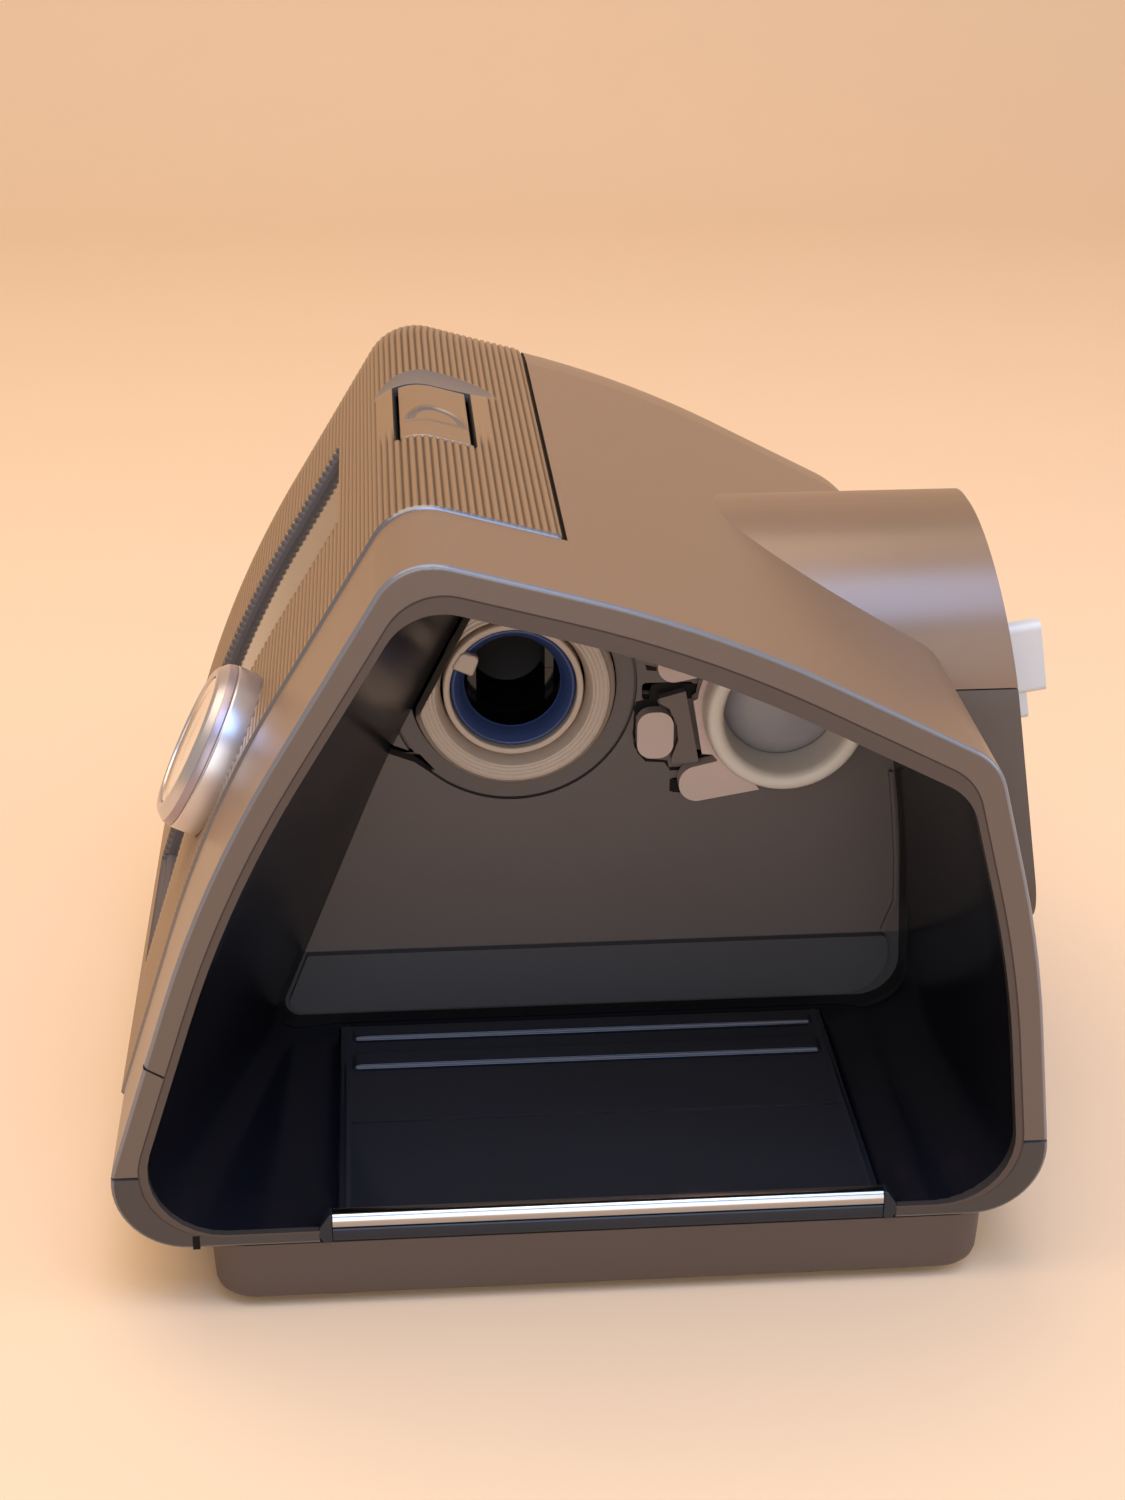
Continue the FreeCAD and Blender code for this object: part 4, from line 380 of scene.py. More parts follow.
# %% Finishes
pale_paper = moulded("pale_paper", (0.88, 0.62, 0.40), 0.9, size=2.0, height=0.02, tone=0.01, gloss=0.02)
backdrop.data.materials.append(pale_paper)
taupe = moulded("taupe_plastic", (0.238, 0.148, 0.094), 0.32, 0.20, Specular_IOR_Level=0.8)
tray_taupe = moulded("tray_plastic", (0.105, 0.075, 0.060), 0.40, 0.30)
taupe_dark = moulded("cover_plastic", (0.105, 0.083, 0.070), 0.42)
champagne = moulded("champagne_plastic", (0.30, 0.185, 0.105), 0.34, 0.35)
bay_black = moulded("bay_black", (0.0060, 0.0060, 0.0095), 0.24, height=0.004, Specular_IOR_Level=0.22)
panel_brown = moulded("panel_brown", (0.115, 0.094, 0.090), 0.45, height=0.008)
# Painted shade: the plinth's taupe is darkened to its tone in the shade under the machine.
plinth_shade_taupe = moulded("plinth_shade_taupe", (0.080, 0.055, 0.045), 0.50)
mat_black = moulded("mat_black", (0.012, 0.012, 0.012), 0.85, height=0.03)
matt_black = moulded("matt_black", (0.008, 0.008, 0.009), 0.55)
dark_anodised = moulded("dark_anodised", (0.034, 0.034, 0.042), 0.12, 0.5, size=1.5, height=0.004)
# Painted reflection: a silver tone for the cool sheen on the finger scoop, the front's near edge and the
# button's finger mark.
sheen_silver = moulded("sheen_silver", (0.215, 0.200, 0.205), 0.30, 0.6, size=0.15, height=0.003)
satin_silver = moulded("satin_silver", (0.60, 0.56, 0.56), 0.30, 0.85, size=0.12, height=0.003)
bar_metal = moulded("bar_metal", (0.46, 0.45, 0.46), 0.16, 1.0, size=3.0, height=0.002, gloss=0.03)
polished = moulded("polished_metal", (0.80, 0.78, 0.77), 0.09, 1.0, size=3.0, height=0.002, gloss=0.03)
steel = moulded("steel", (0.50, 0.50, 0.51), 0.32, 1.0)
beige = moulded("beige_plastic", (0.56, 0.45, 0.37), 0.42, height=0.006)
cream = moulded("cream_silicone", (0.80, 0.68, 0.59), 0.33, height=0.004, Subsurface_Weight=0.12)
blue = moulded("blue_seal", (0.038, 0.066, 0.190), 0.34, height=0.006)
grey_satin = moulded("duct_grey", (0.30, 0.29, 0.31), 0.35)
gloss_black = moulded("gloss_black", (0.006, 0.007, 0.010), 0.10, height=0.003)
board_green = moulded("board_dark", (0.006, 0.012, 0.008), 0.45)
pale_plastic = moulded("pale_plastic", (0.66, 0.64, 0.62), 0.45)
glass_dark = moulded("display_glass", (0.045, 0.037, 0.030), 0.06, height=0.001, gloss=0.02)
throat_black = moulded("throat_black", (0.003, 0.003, 0.0035), 0.42, height=0.003, Specular_IOR_Level=0.15)
rose_beige = moulded("rose_beige", (0.60, 0.46, 0.41), 0.40, height=0.006)
latch_brown = moulded("latch_brown", (0.135, 0.108, 0.098), 0.42, height=0.006)
frame_strip = moulded("frame_strip", (0.078, 0.062, 0.056), 0.30, 0.35, height=0.004)
dark_line = moulded("dark_line", (0.030, 0.012, 0.010), 0.45)
# Painted shade on the bar's lower band, which is the same metal as the rail; the end caps are dark of their
# own.
shade_and_cap_blue = moulded("shade_and_cap_blue", (0.025, 0.030, 0.042), 0.20, 0.5, size=1.0, height=0.003)
mauve = moulded("mauve_band", (0.36, 0.29, 0.31), 0.32, 0.6, size=0.12, height=0.003)
print("finishes", len(bpy.data.materials))

# %% [markdown]
# ## Tones that change with the place
# Painted shade makes the floor of a groove darker, a painted highlight brightens the rounded outer edge of
# the casing's rim and painted shade darkens its end face, and the lower slab of the bay's panel is another
# grey. Each could be a separate material on chosen faces. A share from 0 to 1, taken from a place or from an
# attribute of the mesh, mixes the tones in one material without new edges.


# %% Helper for mixed tones
def tinted(made, share, tone, blend="MIX"):
    """Mixes a tone into the colour of a finish by a share."""
    tree = made.node_tree
    base = tree.nodes["Principled BSDF"].inputs["Base Color"]
    mixed = add_node(tree, "ShaderNodeMix",
                     [("Factor", share), ("A", base.links[0].from_socket), ("B", (*tone, 1.0))],
                     data_type="RGBA", blend_type=blend)
    tree.links.new(mixed.outputs["Result"], base)


def ramp(made, axis, start, end):
    """The share (place - start) / (end - start), held between 0 and 1, for places along an axis in mm."""
    tree = made.node_tree
    where = add_node(tree, "ShaderNodeTexCoord").outputs["Object"]
    place = add_node(tree, "ShaderNodeSeparateXYZ", [("Vector", where)]).outputs[axis]
    return add_node(tree, "ShaderNodeMapRange",
                    [("Value", place), ("From Min", start * MM), ("From Max", end * MM)]).outputs["Result"]


# %% Painted shade in the grooves of the ribs
# Painted shade: the colour is multiplied down where a point lies deep in a rib's groove.
GROOVE_SHADE_SHARE = 0.16
ribbed = moulded("ribbed_plastic", (0.33, 0.205, 0.115), 0.34, 0.35)
groove_shade = add_node(ribbed.node_tree, "ShaderNodeAttribute", attribute_name="groove").outputs["Fac"]
tinted(ribbed, groove_shade, (GROOVE_SHADE_SHARE,) * 3, "MULTIPLY")
print("a groove keeps", GROOVE_SHADE_SHARE, "of the colour")

# %% Painted highlight and shade on the rim of the casing, and slab of the panel
RIM_HIGHLIGHT_RAMP, RIM_SHADE_RAMP = (84.05, 84.2), (84.95, 84.99)
SLAB_RAMP = (30.95, 30.85)
# Painted highlight: a light cool tone on the rim's rounded outer edge. Painted shade: a darker tone on the
# rim's end face.
for finish, edge, face in ((taupe, (0.19, 0.18, 0.19), (0.115, 0.085, 0.070)),
                           (tray_taupe, (0.16, 0.155, 0.165), (0.062, 0.053, 0.051))):
    tinted(finish, ramp(finish, "X", *RIM_HIGHLIGHT_RAMP), edge)
    tinted(finish, ramp(finish, "X", *RIM_SHADE_RAMP), face)
tinted(panel_brown, ramp(panel_brown, "Z", *SLAB_RAMP), (0.058, 0.056, 0.064))
print("the rim's edge is lit from x", RIM_HIGHLIGHT_RAMP[0], "and the slab starts at z", SLAB_RAMP[0])

# %% [markdown]
# ## A finish for every solid
# Each solid of the frame is one moulding, sheet or casting, so one finish each is true to the real machine. A
# table from name to finish reads like a parts list and is quicker to check than a chain of conditions.

# %% Finish for each solid
FINISHES = {
    "main_casing": taupe, "rear_cover": taupe_dark, "base_tray": tray_taupe, "plinth": plinth_shade_taupe,
    "case_screws": steel, "rubber_mat": mat_black, "ribbed_fascia": champagne, "power_button": champagne,
    "power_switch": pale_plastic, "switch_board": board_green, "channel_frame": panel_brown,
    "display_glass": glass_dark, "control_board": board_green, "display_module": matt_black,
    "knob_skirt": satin_silver, "knob_face": polished, "encoder_shaft": steel, "encoder": matt_black,
    "encoder_plunger": beige, "bay_liner": bay_black, "bay_back_panel": panel_brown,
    "heater_plate": dark_anodised, "heater_element": steel, "heater_springs": steel,
    "sill_bar": polished, "sill_bar_caps": matt_black, "port_flange": beige, "port_tube": beige,
    "port_seal": blue, "return_seal": cream, "port_lever": rose_beige, "latch_button": rose_beige,
    "latch_bar": latch_brown, "outlet_duct": grey_satin, "outlet_port": pale_plastic,
    "blower_lower": gloss_black, "blower_upper": gloss_black, "impeller": gloss_black,
    "blower_motor": matt_black, "blower_deck": matt_black, "main_board": board_green,
    "board_parts": matt_black, "filter_door": taupe_dark, "filter_pad": pale_plastic,
    "filter_frame": matt_black, "power_inlet": matt_black,
}
for node, finish in FINISHES.items():
    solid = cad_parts[node]
    solid.data.materials.clear()
    solid.data.materials.append(finish)
print("finishes given to", len(FINISHES), "solids")

# %% [markdown]
# ## The two ports in the bay
# The blower's port is a nest of rings: a beige flange with fine turning lines, a pale tube sunk in it, and a
# soft blue funnel that seals against the tub's spout. The port beside it has one thick ring of translucent
# silicone with a rolled lip. All are lathe shapes, so each is a half section turned round the port's axis.

# %% Blower port
BLOWER_PORT = (0.0, -7.8, 84.4)
OUTWARDS = (1.0, 0.0, 0.0)
WALL_FOOT = np.array([-31.5, 70.5])
WALL_HEAD = np.array([-7.0, 118.0])
WALL_SHY = 1.3
RING_STEPS = 144


def turned_in_wall(name, profile):
    """A ring of the blower port whose side is cut flat where the bay's sloping front wall passes."""
    made = turned(name, profile, BLOWER_PORT, OUTWARDS, RING_STEPS)
    points = points_of(made)
    along = (points[:, 2] - WALL_FOOT[1]) / (WALL_HEAD[1] - WALL_FOOT[1])
    wall = WALL_FOOT[0] + along * (WALL_HEAD[0] - WALL_FOOT[0]) + WALL_SHY
    points[:, 1] = np.maximum(points[:, 1], wall)
    made.data.vertices.foreach_set("co", (points * MM).ravel())
    made.data.update()
    return made


def flange_profile():
    """Half section of the flange: a dished face with four turned lines between two rounded lips."""
    face = [(13.3, 12.2), (13.3, 15.5), (14.3, 18.2), (14.6, 18.45)]
    for line in range(4):
        start = 14.9 + 0.75 * line
        face += [(start, 18.25), (start + 0.12, 18.0), (start + 0.24, 18.25)]
    face += [(17.4, 18.1), (18.0, 17.5), (18.55, 16.4), (18.7, 15.4), (18.7, 12.2)]
    return face


stand_for(turned_in_wall("port_flange_ring", flange_profile()), beige, "machine", "port_flange")

TUBE = softened([(11.6, 7.2), (12.8, 7.2), (12.8, 16.9), (11.6, 16.9), (11.6, 7.2)], 0.45)
stand_for(turned("port_tube_ring", TUBE, BLOWER_PORT, OUTWARDS, RING_STEPS), beige, "machine", "port_tube")

FUNNEL = softened([(10.3, 8.1), (11.45, 8.1), (11.45, 15.6), (10.9, 16.0), (9.9, 14.6), (9.3, 13.4),
                   (9.05, 12.7), (8.75, 12.35), (9.6, 12.0), (10.3, 11.0), (10.3, 8.1)], 0.4)
stand_for(turned("port_funnel", FUNNEL, BLOWER_PORT, OUTWARDS, RING_STEPS), blue, "machine", "port_seal")

THROAT = softened([(9.9, 11.7), (9.4, 11.4), (9.0, 6.2), (8.6, 5.8), (8.4, 2.6), (8.1, 2.2), (7.9, -1.4),
                   (7.6, -1.8), (7.4, -5.6), (0.0, -6.4)], 0.3)
stand_for(turned("port_throat", THROAT, BLOWER_PORT, OUTWARDS, 96), throat_black, "machine")

TAB_SPOTS = rounded([(-11.3, 4.7), (-9.3, 7.7), (-6.0, 6.7), (-7.4, 2.9)], [0.5, 0.9, 0.9, 0.5], 4)
tab = plate("port_tab", TAB_SPOTS, facing_x(*BLOWER_PORT[1:]), 15.6, 17.4, 0.5, 4)
stand_for(tab, beige, "machine")
print("blower port made of flange, tube, funnel, throat and tab")

# %% Return port
RETURN_PORT = (0.0, 41.7, 80.35)
RING = softened([(10.9, 15.2), (14.9, 15.2), (15.1, 18.5), (15.0, 22.0), (14.5, 23.4), (13.6, 23.75),
                 (12.3, 23.5), (11.7, 22.7), (11.4, 20.5), (11.2, 18.0), (10.9, 15.2)], 0.8)
stand_for(turned("return_ring", RING, RETURN_PORT, OUTWARDS, RING_STEPS), cream, "machine", "return_seal")

BULB_RADIUS, BULB_FOOT, BULB_RISE = 11.3, 13.6, 5.6
quarter = np.linspace(0.0, math.pi / 2, 24)
BULB = [(11.0, 9.0), *zip(BULB_RADIUS * np.cos(quarter), BULB_FOOT + BULB_RISE * np.sin(quarter))]
stand_for(turned("return_bulb", BULB, RETURN_PORT, OUTWARDS, 96), grey_satin, "machine")
print("return port made of ring and bulb")

# %% [markdown]
# ## Shadows round the latch
# The latch, its bar and the finger lever work in slots of the panel, and what one sees of a slot, and of the
# edges round the bar, is dark shade. Cutting the panel would need a new panel. A thin dark sheet just over
# it, with the outline of that shade, is painted shadow and looks the same from every side on which the bay is
# open.

# %% Painted shadows round the latch
LATCH_SHADOW_HEIGHTS = (14.6, 15.08)
LATCH_SHADOWS = {
    "latch_shadow_top": [(17.3, 82.9), (17.7, 83.9), (19.5, 84.3), (28.1, 83.7), (26.4, 82.6), (24.5, 81.1),
                         (24.1, 82.4), (18.7, 80.9), (19.3, 78.9), (16.8, 78.6), (14.8, 77.8), (14.3, 79.1),
                         (14.8, 80.6), (17.2, 81.2)],
    "latch_shadow_side": [(14.8, 77.8), (14.7, 74.3), (15.7, 70.5), (16.9, 69.1), (20.8, 68.6), (21.2, 66.8),
                          (20.2, 68.2), (16.7, 68.5), (15.2, 70.3), (14.2, 74.3)],
    "latch_shadow_low": [(26.7, 69.5), (29.1, 70.1), (30.6, 67.4), (27.1, 66.5), (21.2, 66.5), (21.2, 67.2),
                         (26.7, 67.3)],
    "lever_shadow": [(21.3, 64.8), (23.6, 64.7), (23.3, 63.4), (23.3, 61.9), (21.3, 62.3)],
    "lever_shadow_top": [(16.4, 87.9), (18.5, 87.3), (18.5, 86.6), (16.7, 86.8)],
}
# Painted shadow: each black sheet stands for the shade in a slot or round the latch bar.
for name, spots in LATCH_SHADOWS.items():
    stand_for(plate(name, spots, IN_PLACE, *LATCH_SHADOW_HEIGHTS, 0.02, 1), throat_black, "machine")
print("recesses made", len(LATCH_SHADOWS))

# %% [markdown]
# ## The ribbed front
# The front is one long moulded skin that runs from the top seam over the bend and down to the foot, with fine
# ribs along the machine's length, a smooth patch with the start button, a finger scoop behind it and a slot
# for the display. An array of separate ribs would leave seams where the front bends. A mould-maker cuts them
# with one profiled tool that follows the outline, so here a walk along the outline gives the place and the
# outward direction, and the tool's profile is taken off it.

# %% The casing's outline
SKIN = [(-83.4, 13.5), (79.7, 13.5), (74.2, 64.0), (65.3, 98.2), (19.7, 122.0), (-28.1, 135.2), (-60.8, 81.8)]
DOME_START, DOME_LENGTH, DOME_INSET = -47.0, 38.0, 22.0
print("outline with", len(SKIN), "corners")


def moved_in(corners, step):
    """Each edge of a counter-clockwise outline moved inwards by its own step, and both its corners with it.

    A corner moves by a n1 + b n2, where d = n1.n2, a = (s1 - d s2) / (1 - d^2), b = (s2 - d s1) / (1 - d^2).
    """
    corners = np.asarray(corners, dtype=float)
    edge = np.roll(corners, -1, axis=0) - corners
    edge = edge / np.linalg.norm(edge, axis=1)[:, None]
    normal = np.stack([-edge[:, 1], edge[:, 0]], axis=1)
    before = np.roll(normal, 1, axis=0)
    here = np.broadcast_to(np.asarray(step, dtype=float), (len(corners),))
    last = np.roll(here, 1)
    alike = np.sum(normal * before, axis=1)
    first = (last - alike * here) / (1 - alike ** 2)
    second = (here - alike * last) / (1 - alike ** 2)
    return corners + before * first[:, None] + normal * second[:, None]


def draw_in(x, step):
    """How far the skin lies inside the outline along X: step + inset * (1 - sqrt(1 - (past / length)^2))."""
    past = np.maximum(0.0, DOME_START - x) / (DOME_LENGTH - step)
    return step + DOME_INSET * (1 - np.sqrt(1 - np.minimum(past, 1.0) ** 2))


# %% Runs of the front
BEND_ROUND, BOW_ROUND = 10.0, 200.0
TOP_EDGE_Y, FOOT_Z = -1.9, 28.1


def corner_arc(before, here, after, radius):
    """Where an arc starts and ends at a corner, its centre, its first angle, its turn and its radius."""
    ahead = (here - before) / np.linalg.norm(here - before)
    leave = (after - here) / np.linalg.norm(after - here)
    turn = math.atan2(ahead[0] * leave[1] - ahead[1] * leave[0], float(ahead @ leave))
    reach = radius * math.tan(turn / 2)
    start = here - ahead * reach
    centre = start + np.array([-ahead[1], ahead[0]]) * radius
    first = math.atan2(start[1] - centre[1], start[0] - centre[0])
    return start, here + leave * reach, centre, first, turn, radius


def front_runs(step):
    """The front as five runs at a step inside the outline: line, bend, line, bow and line."""
    corners = moved_in(SKIN, step)
    top, bend, front, low = corners[4], corners[5], corners[6], corners[0]
    first = corner_arc(top, bend, front, BEND_ROUND)
    second = corner_arc(bend, front, low, BOW_ROUND)
    slope = (bend - top) / (bend[0] - top[0])
    head = top + slope * (TOP_EDGE_Y - top[0])
    fall = (low - front) / (low[1] - front[1])
    foot = front + fall * (FOOT_Z - front[1])
    return [(head, first[0]), first[2:], (first[1], second[0]), second[2:], (second[1], foot)]


def run_length(run):
    """Length of a straight run (start, end) or of an arc (centre, angle, turn, radius)."""
    return float(np.linalg.norm(run[1] - run[0])) if len(run) == 2 else abs(run[2]) * run[3]


def on_run(run, share):
    """Places and outward directions at shares of a run."""
    share = np.asarray(share)[:, None]
    if len(run) == 2:
        way = (run[1] - run[0]) / np.linalg.norm(run[1] - run[0])
        return run[0] + (run[1] - run[0]) * share, np.repeat([[way[1], -way[0]]], len(share), axis=0)
    centre, first, turn, radius = run
    angle = first + turn * share
    out = np.concatenate([np.cos(angle), np.sin(angle)], axis=1)
    return centre + radius * out, out


# %% A walk down the front
FIND_STEPS = 6000


class FrontWalk:
    """Distances along the front, each kept as a run number and a share of that run."""

    def __init__(self, step):
        self.step = step
        self.lengths = [run_length(run) for run in front_runs(step)]
        self.total = sum(self.lengths)

    def place(self, along, step):
        """Places and outward directions for distances along the front, at any step inside the outline."""
        spots = np.empty((len(along), 2))
        outs = np.empty((len(along), 2))
        start = 0.0
        for number, (run, length) in enumerate(zip(front_runs(step), self.lengths)):
            last = number == len(self.lengths) - 1
            chosen = (along >= start) & ((along < start + length) | last)
            if chosen.any():
                spots[chosen], outs[chosen] = on_run(run, (along[chosen] - start) / length)
            start += length
        return spots, outs

    def find(self, column, value, past_y=math.inf):
        """The distance at which Y (column 0) or Z (column 1) has a value, where Y is below a limit."""
        along = np.linspace(0.0, self.total, FIND_STEPS)
        spots = self.place(along, self.step)[0]
        miss = np.where(spots[:, 0] < past_y, np.abs(spots[:, column] - value), math.inf)
        return float(along[np.argmin(miss)])


def skin_grid(walk, along, xs, depth, step):
    """Grid of points: the skin at a step inside the outline, less a depth along its outward direction."""
    grid = np.empty((len(along), len(xs), 3))
    outs = np.empty((len(along), len(xs), 3))
    for column, x in enumerate(xs):
        spots, out = walk.place(along, float(draw_in(x, step)))
        grid[:, column, 0] = x
        grid[:, column, 1:] = spots - out * depth[:, column][:, None]
        outs[:, column, 0] = 0.0
        outs[:, column, 1:] = out
    return grid, outs


# %% Helper for walls round a sheet
def walled(points, faces, inwards):
    """Gives a sheet's open edges a wall of repeated points further inwards, and counts the sheet's faces."""
    faces = np.asarray(faces)
    start = faces.ravel()
    end = np.roll(faces, -1, axis=1).ravel()
    total = len(points)
    forward = start.astype(np.int64) * total + end
    backward = end.astype(np.int64) * total + start
    open_edges = ~np.isin(forward, backward)
    start, end = start[open_edges], end[open_edges]
    rim = np.unique(np.concatenate([start, end]))
    number = np.full(total, -1)
    number[rim] = total + np.arange(len(rim))
    walls = np.stack([end, start, number[start], number[end]], axis=1)
    return np.vstack([points, points[rim] + inwards[rim]]), np.vstack([faces, walls]), len(faces)


def walled_grid(name, grid, inwards):
    """A grid of points as a piece with a wall round it, and its points and faces."""
    points, faces, _ = walled(grid.reshape(-1, 3), grid_faces(*grid.shape[:2]), inwards.reshape(-1, 3))
    return add_object(name, points, faces.tolist()), points, faces


# %% Ribs, scoop and windows
SINK = -0.4
PITCH, RIB_DEPTH = 1.34, 0.50
RIB_SHARES = (0.0, 0.10, 0.26, 0.5, 0.74, 0.90)
FASCIA_FAR, FASCIA_NEAR = -69.0, 59.0
SMOOTH_X, SMOOTH_Y = (-15.0, 18.0), (-31.0, -10.6)
BUTTON_X, BUTTON_Y, SLOT = (-12.0, 20.5), (-27.2, -14.8), 1.0
CHANNEL_X, CHANNEL_Z = (-23.0, 21.0), (33.0, 119.0)
SLOT_FAR = 1.6
SCOOP_X, SCOOP_Y, SCOOP_LONG, SCOOP_HALF, SCOOP_DEEP = -13.6, -20.3, 8.0, 11.0, 0.6
SCOOP_BORDER = 0.12
NEAR_BEVEL = 0.8
TOP_LIP, TOP_LIP_WIDTH = 0.35, 0.7
ROOF_Z, BEND_Y = 120.0, -31.0
walk = FrontWalk(SINK)
print("the front is", round(walk.total, 1), "mm from the top edge to the foot")


def rib_depth(along):
    """The ribs' tool: depth * (1 - |sin(pi s / pitch)|)^1.5, a narrow groove between broad round ribs."""
    return RIB_DEPTH * (1 - np.abs(np.sin(math.pi * (along / PITCH - 0.5)))) ** 1.5


def scoop_shape(x, y):
    """How far a place lies inside the scoop's half oval: 1 - ((x0 - x) / length)^2 - ((y - y0) / half)^2."""
    inside = 1 - ((SCOOP_X - x) / SCOOP_LONG) ** 2 - ((y - SCOOP_Y) / SCOOP_HALF) ** 2
    return np.where(x <= SCOOP_X + 0.01, inside, -1.0)


# %% Rows and columns of the front
slot_top, slot_foot = walk.find(0, BUTTON_Y[1] + SLOT), walk.find(0, BUTTON_Y[0] - SLOT)
channel_top, channel_foot = walk.find(1, CHANNEL_Z[1], BEND_Y), walk.find(1, CHANNEL_Z[0])
MARKS = (0.0, walk.total, slot_top, slot_foot, walk.find(0, SMOOTH_Y[0]), walk.find(0, SMOOTH_Y[1]),
         channel_foot, channel_top)
MARK_GAP, COLUMN_GAP = 0.05, 0.12


def fascia_rows():
    """Distances along the front: six per rib, and the windows' edges."""
    starts = PITCH * (np.arange(int(walk.total / PITCH) + 2) - 0.5)
    rows = (starts[:, None] + PITCH * np.array(RIB_SHARES)[None, :]).ravel()
    rows = rows[(rows > MARK_GAP) & (rows < walk.total - MARK_GAP)]
    for mark in MARKS:
        rows = rows[np.abs(rows - mark) > MARK_GAP]
    return np.sort(np.concatenate([rows, MARKS]))


def fascia_columns():
    """Places along X, fine at the near edge, the knob's hole, the scoop and the rounded far end."""
    knob_hole, scoop_end = np.linspace(44.6, 35.4, 12), np.linspace(-13.6, -22.4, 41)
    parts = [np.array([FASCIA_NEAR, 58.6, 58.2, 58.1, 57.9, 57.6]), np.linspace(56.0, 46.0, 4), knob_hole,
             np.array([32.0, 26.0, 21.0, 20.5, 18.3, 18.0, 12.0, 5.0, -3.0, -9.0]), scoop_end,
             np.linspace(-25.0, -40.0, 8), np.array([-12.0, -15.0, -15.3, -23.0]),
             np.linspace(-43.0, FASCIA_FAR, 14)]
    xs = np.unique(np.round(np.concatenate(parts), 3))[::-1]
    keep = np.concatenate([[True], np.abs(np.diff(xs)) > COLUMN_GAP])
    return xs[keep]


rows = fascia_rows()
columns = fascia_columns()
for exact in (BUTTON_X[1], CHANNEL_X[1], SCOOP_X, CHANNEL_X[0]):
    columns[np.argmin(np.abs(columns - exact))] = exact
print("rows and columns", len(rows), len(columns))

# %% Depth of the front's relief
spots = walk.place(rows, SINK)[0]
from_near = FASCIA_NEAR - NEAR_BEVEL - columns
smooth_row = (spots[:, 0] > SMOOTH_Y[0]) & (spots[:, 0] < SMOOTH_Y[1]) & (spots[:, 1] > ROOF_Z)
smooth_column = (columns > SMOOTH_X[0]) & (columns < SMOOTH_X[1])
depth = np.repeat(rib_depth(rows)[:, None], len(columns), axis=1)
depth[np.ix_(smooth_row, smooth_column)] = 0.0
scoop = np.where(spots[:, 1:] > ROOF_Z - 2.0, scoop_shape(columns[None, :], spots[:, :1]), -1.0)
depth *= np.clip(-scoop / SCOOP_BORDER, 0, 1) * np.clip((from_near - 0.1) / 0.5, 0, 1)[None, :]
# The share of a rib's full depth, used below for the painted shade of the grooves.
groove = depth / RIB_DEPTH
depth += np.clip(-from_near, 0, NEAR_BEVEL)
depth += TOP_LIP * np.clip(1 - rows / TOP_LIP_WIDTH, 0, 1)[:, None] ** 2
depth += SCOOP_DEEP * np.clip(scoop, 0, 1) ** 0.8
grid, outs = skin_grid(walk, rows, columns, depth, SINK)
dug = scoop > 0.0
print("fascia grid", grid.shape, "scooped points", int(dug.sum()))

# %% Fascia mesh
KNOB_SPOT = np.array([40.0, -57.1, 82.8])
KNOB_TILT = math.radians(27.0)
KNOB_AXIS = np.array([0.0, -math.cos(KNOB_TILT), math.sin(KNOB_TILT)])
KNOB_RISE = np.array([0.0, math.sin(KNOB_TILT), math.cos(KNOB_TILT)])
KNOB_HOLE = 4.5
FASCIA_WALL = 1.7
NEAR = 1e-3


def cell_all(mask):
    """For each cell of the grid, whether all its four corners are marked."""
    return mask[:-1, :-1] & mask[:-1, 1:] & mask[1:, 1:] & mask[1:, :-1]


xs = grid[..., 0]
along = np.repeat(rows[:, None], len(columns), axis=1)
in_slot = ((xs > BUTTON_X[0] - SLOT_FAR - NEAR) & (xs < BUTTON_X[1] + NEAR)
           & (along > slot_top - NEAR) & (along < slot_foot + NEAR))
in_channel = ((xs > CHANNEL_X[0] - NEAR) & (xs < CHANNEL_X[1] + NEAR)
              & (along > channel_top - NEAR) & (along < channel_foot + NEAR))
from_knob = grid - KNOB_SPOT
across = from_knob @ KNOB_RISE
distance = np.sqrt(from_knob[..., 0] ** 2 + across ** 2)
in_hole = (distance < KNOB_HOLE) & (along > channel_top)
scale = np.where(in_hole, KNOB_HOLE / np.maximum(distance, 1e-6), 1.0)
grid = grid + (from_knob[..., :1] * OUTWARDS + across[..., None] * KNOB_RISE) * (scale[..., None] - 1)
gone = cell_all(in_slot) | cell_all(in_channel) | cell_all(in_hole)
faces = grid_faces(*grid.shape[:2])[~gone.ravel()]
used = np.unique(faces)
renumber = np.full(grid.shape[0] * grid.shape[1], -1)
renumber[used] = np.arange(len(used))
points, faces, sheet_faces = walled(grid.reshape(-1, 3)[used], renumber[faces],
                                    -outs.reshape(-1, 3)[used] * FASCIA_WALL)
fascia = add_object("fascia", points, faces.tolist())
stand_for(fascia, ribbed, "machine", "ribbed_fascia")
print("fascia faces", len(faces))

# %% Painted sheen and shade on the front
SHEEN_SLOT, SHADE_SLOT, BROWN_SLOT = 1, 2, 3
for finish in (sheen_silver, matt_black, panel_brown):
    fascia.data.materials.append(finish)


def on_points(values):
    """Values of the grid's points that are in use, and 0 for the points that the wall adds."""
    return np.concatenate([values.ravel()[used], np.zeros(len(points) - len(used), values.dtype)])


# Painted reflection: faces of the scoop and of the near edge's bevel take the silver finish for the sheen
# they show.
near_edge = points[faces][..., 0].min(axis=1) > FASCIA_NEAR - NEAR_BEVEL - 0.02
slots = np.where(on_points(dug)[faces].all(axis=1) | near_edge, SHEEN_SLOT, 0)
# Painted shade: the walls beside the button, down in its slots, are black; the other walls are brown.
beside_button = points[faces[sheet_faces:, 0], 2] > ROOF_Z + 2.0
slots[sheet_faces:] = np.where(beside_button, SHADE_SLOT, BROWN_SLOT)
fascia.data.polygons.foreach_set("material_index", slots.astype(np.int32))
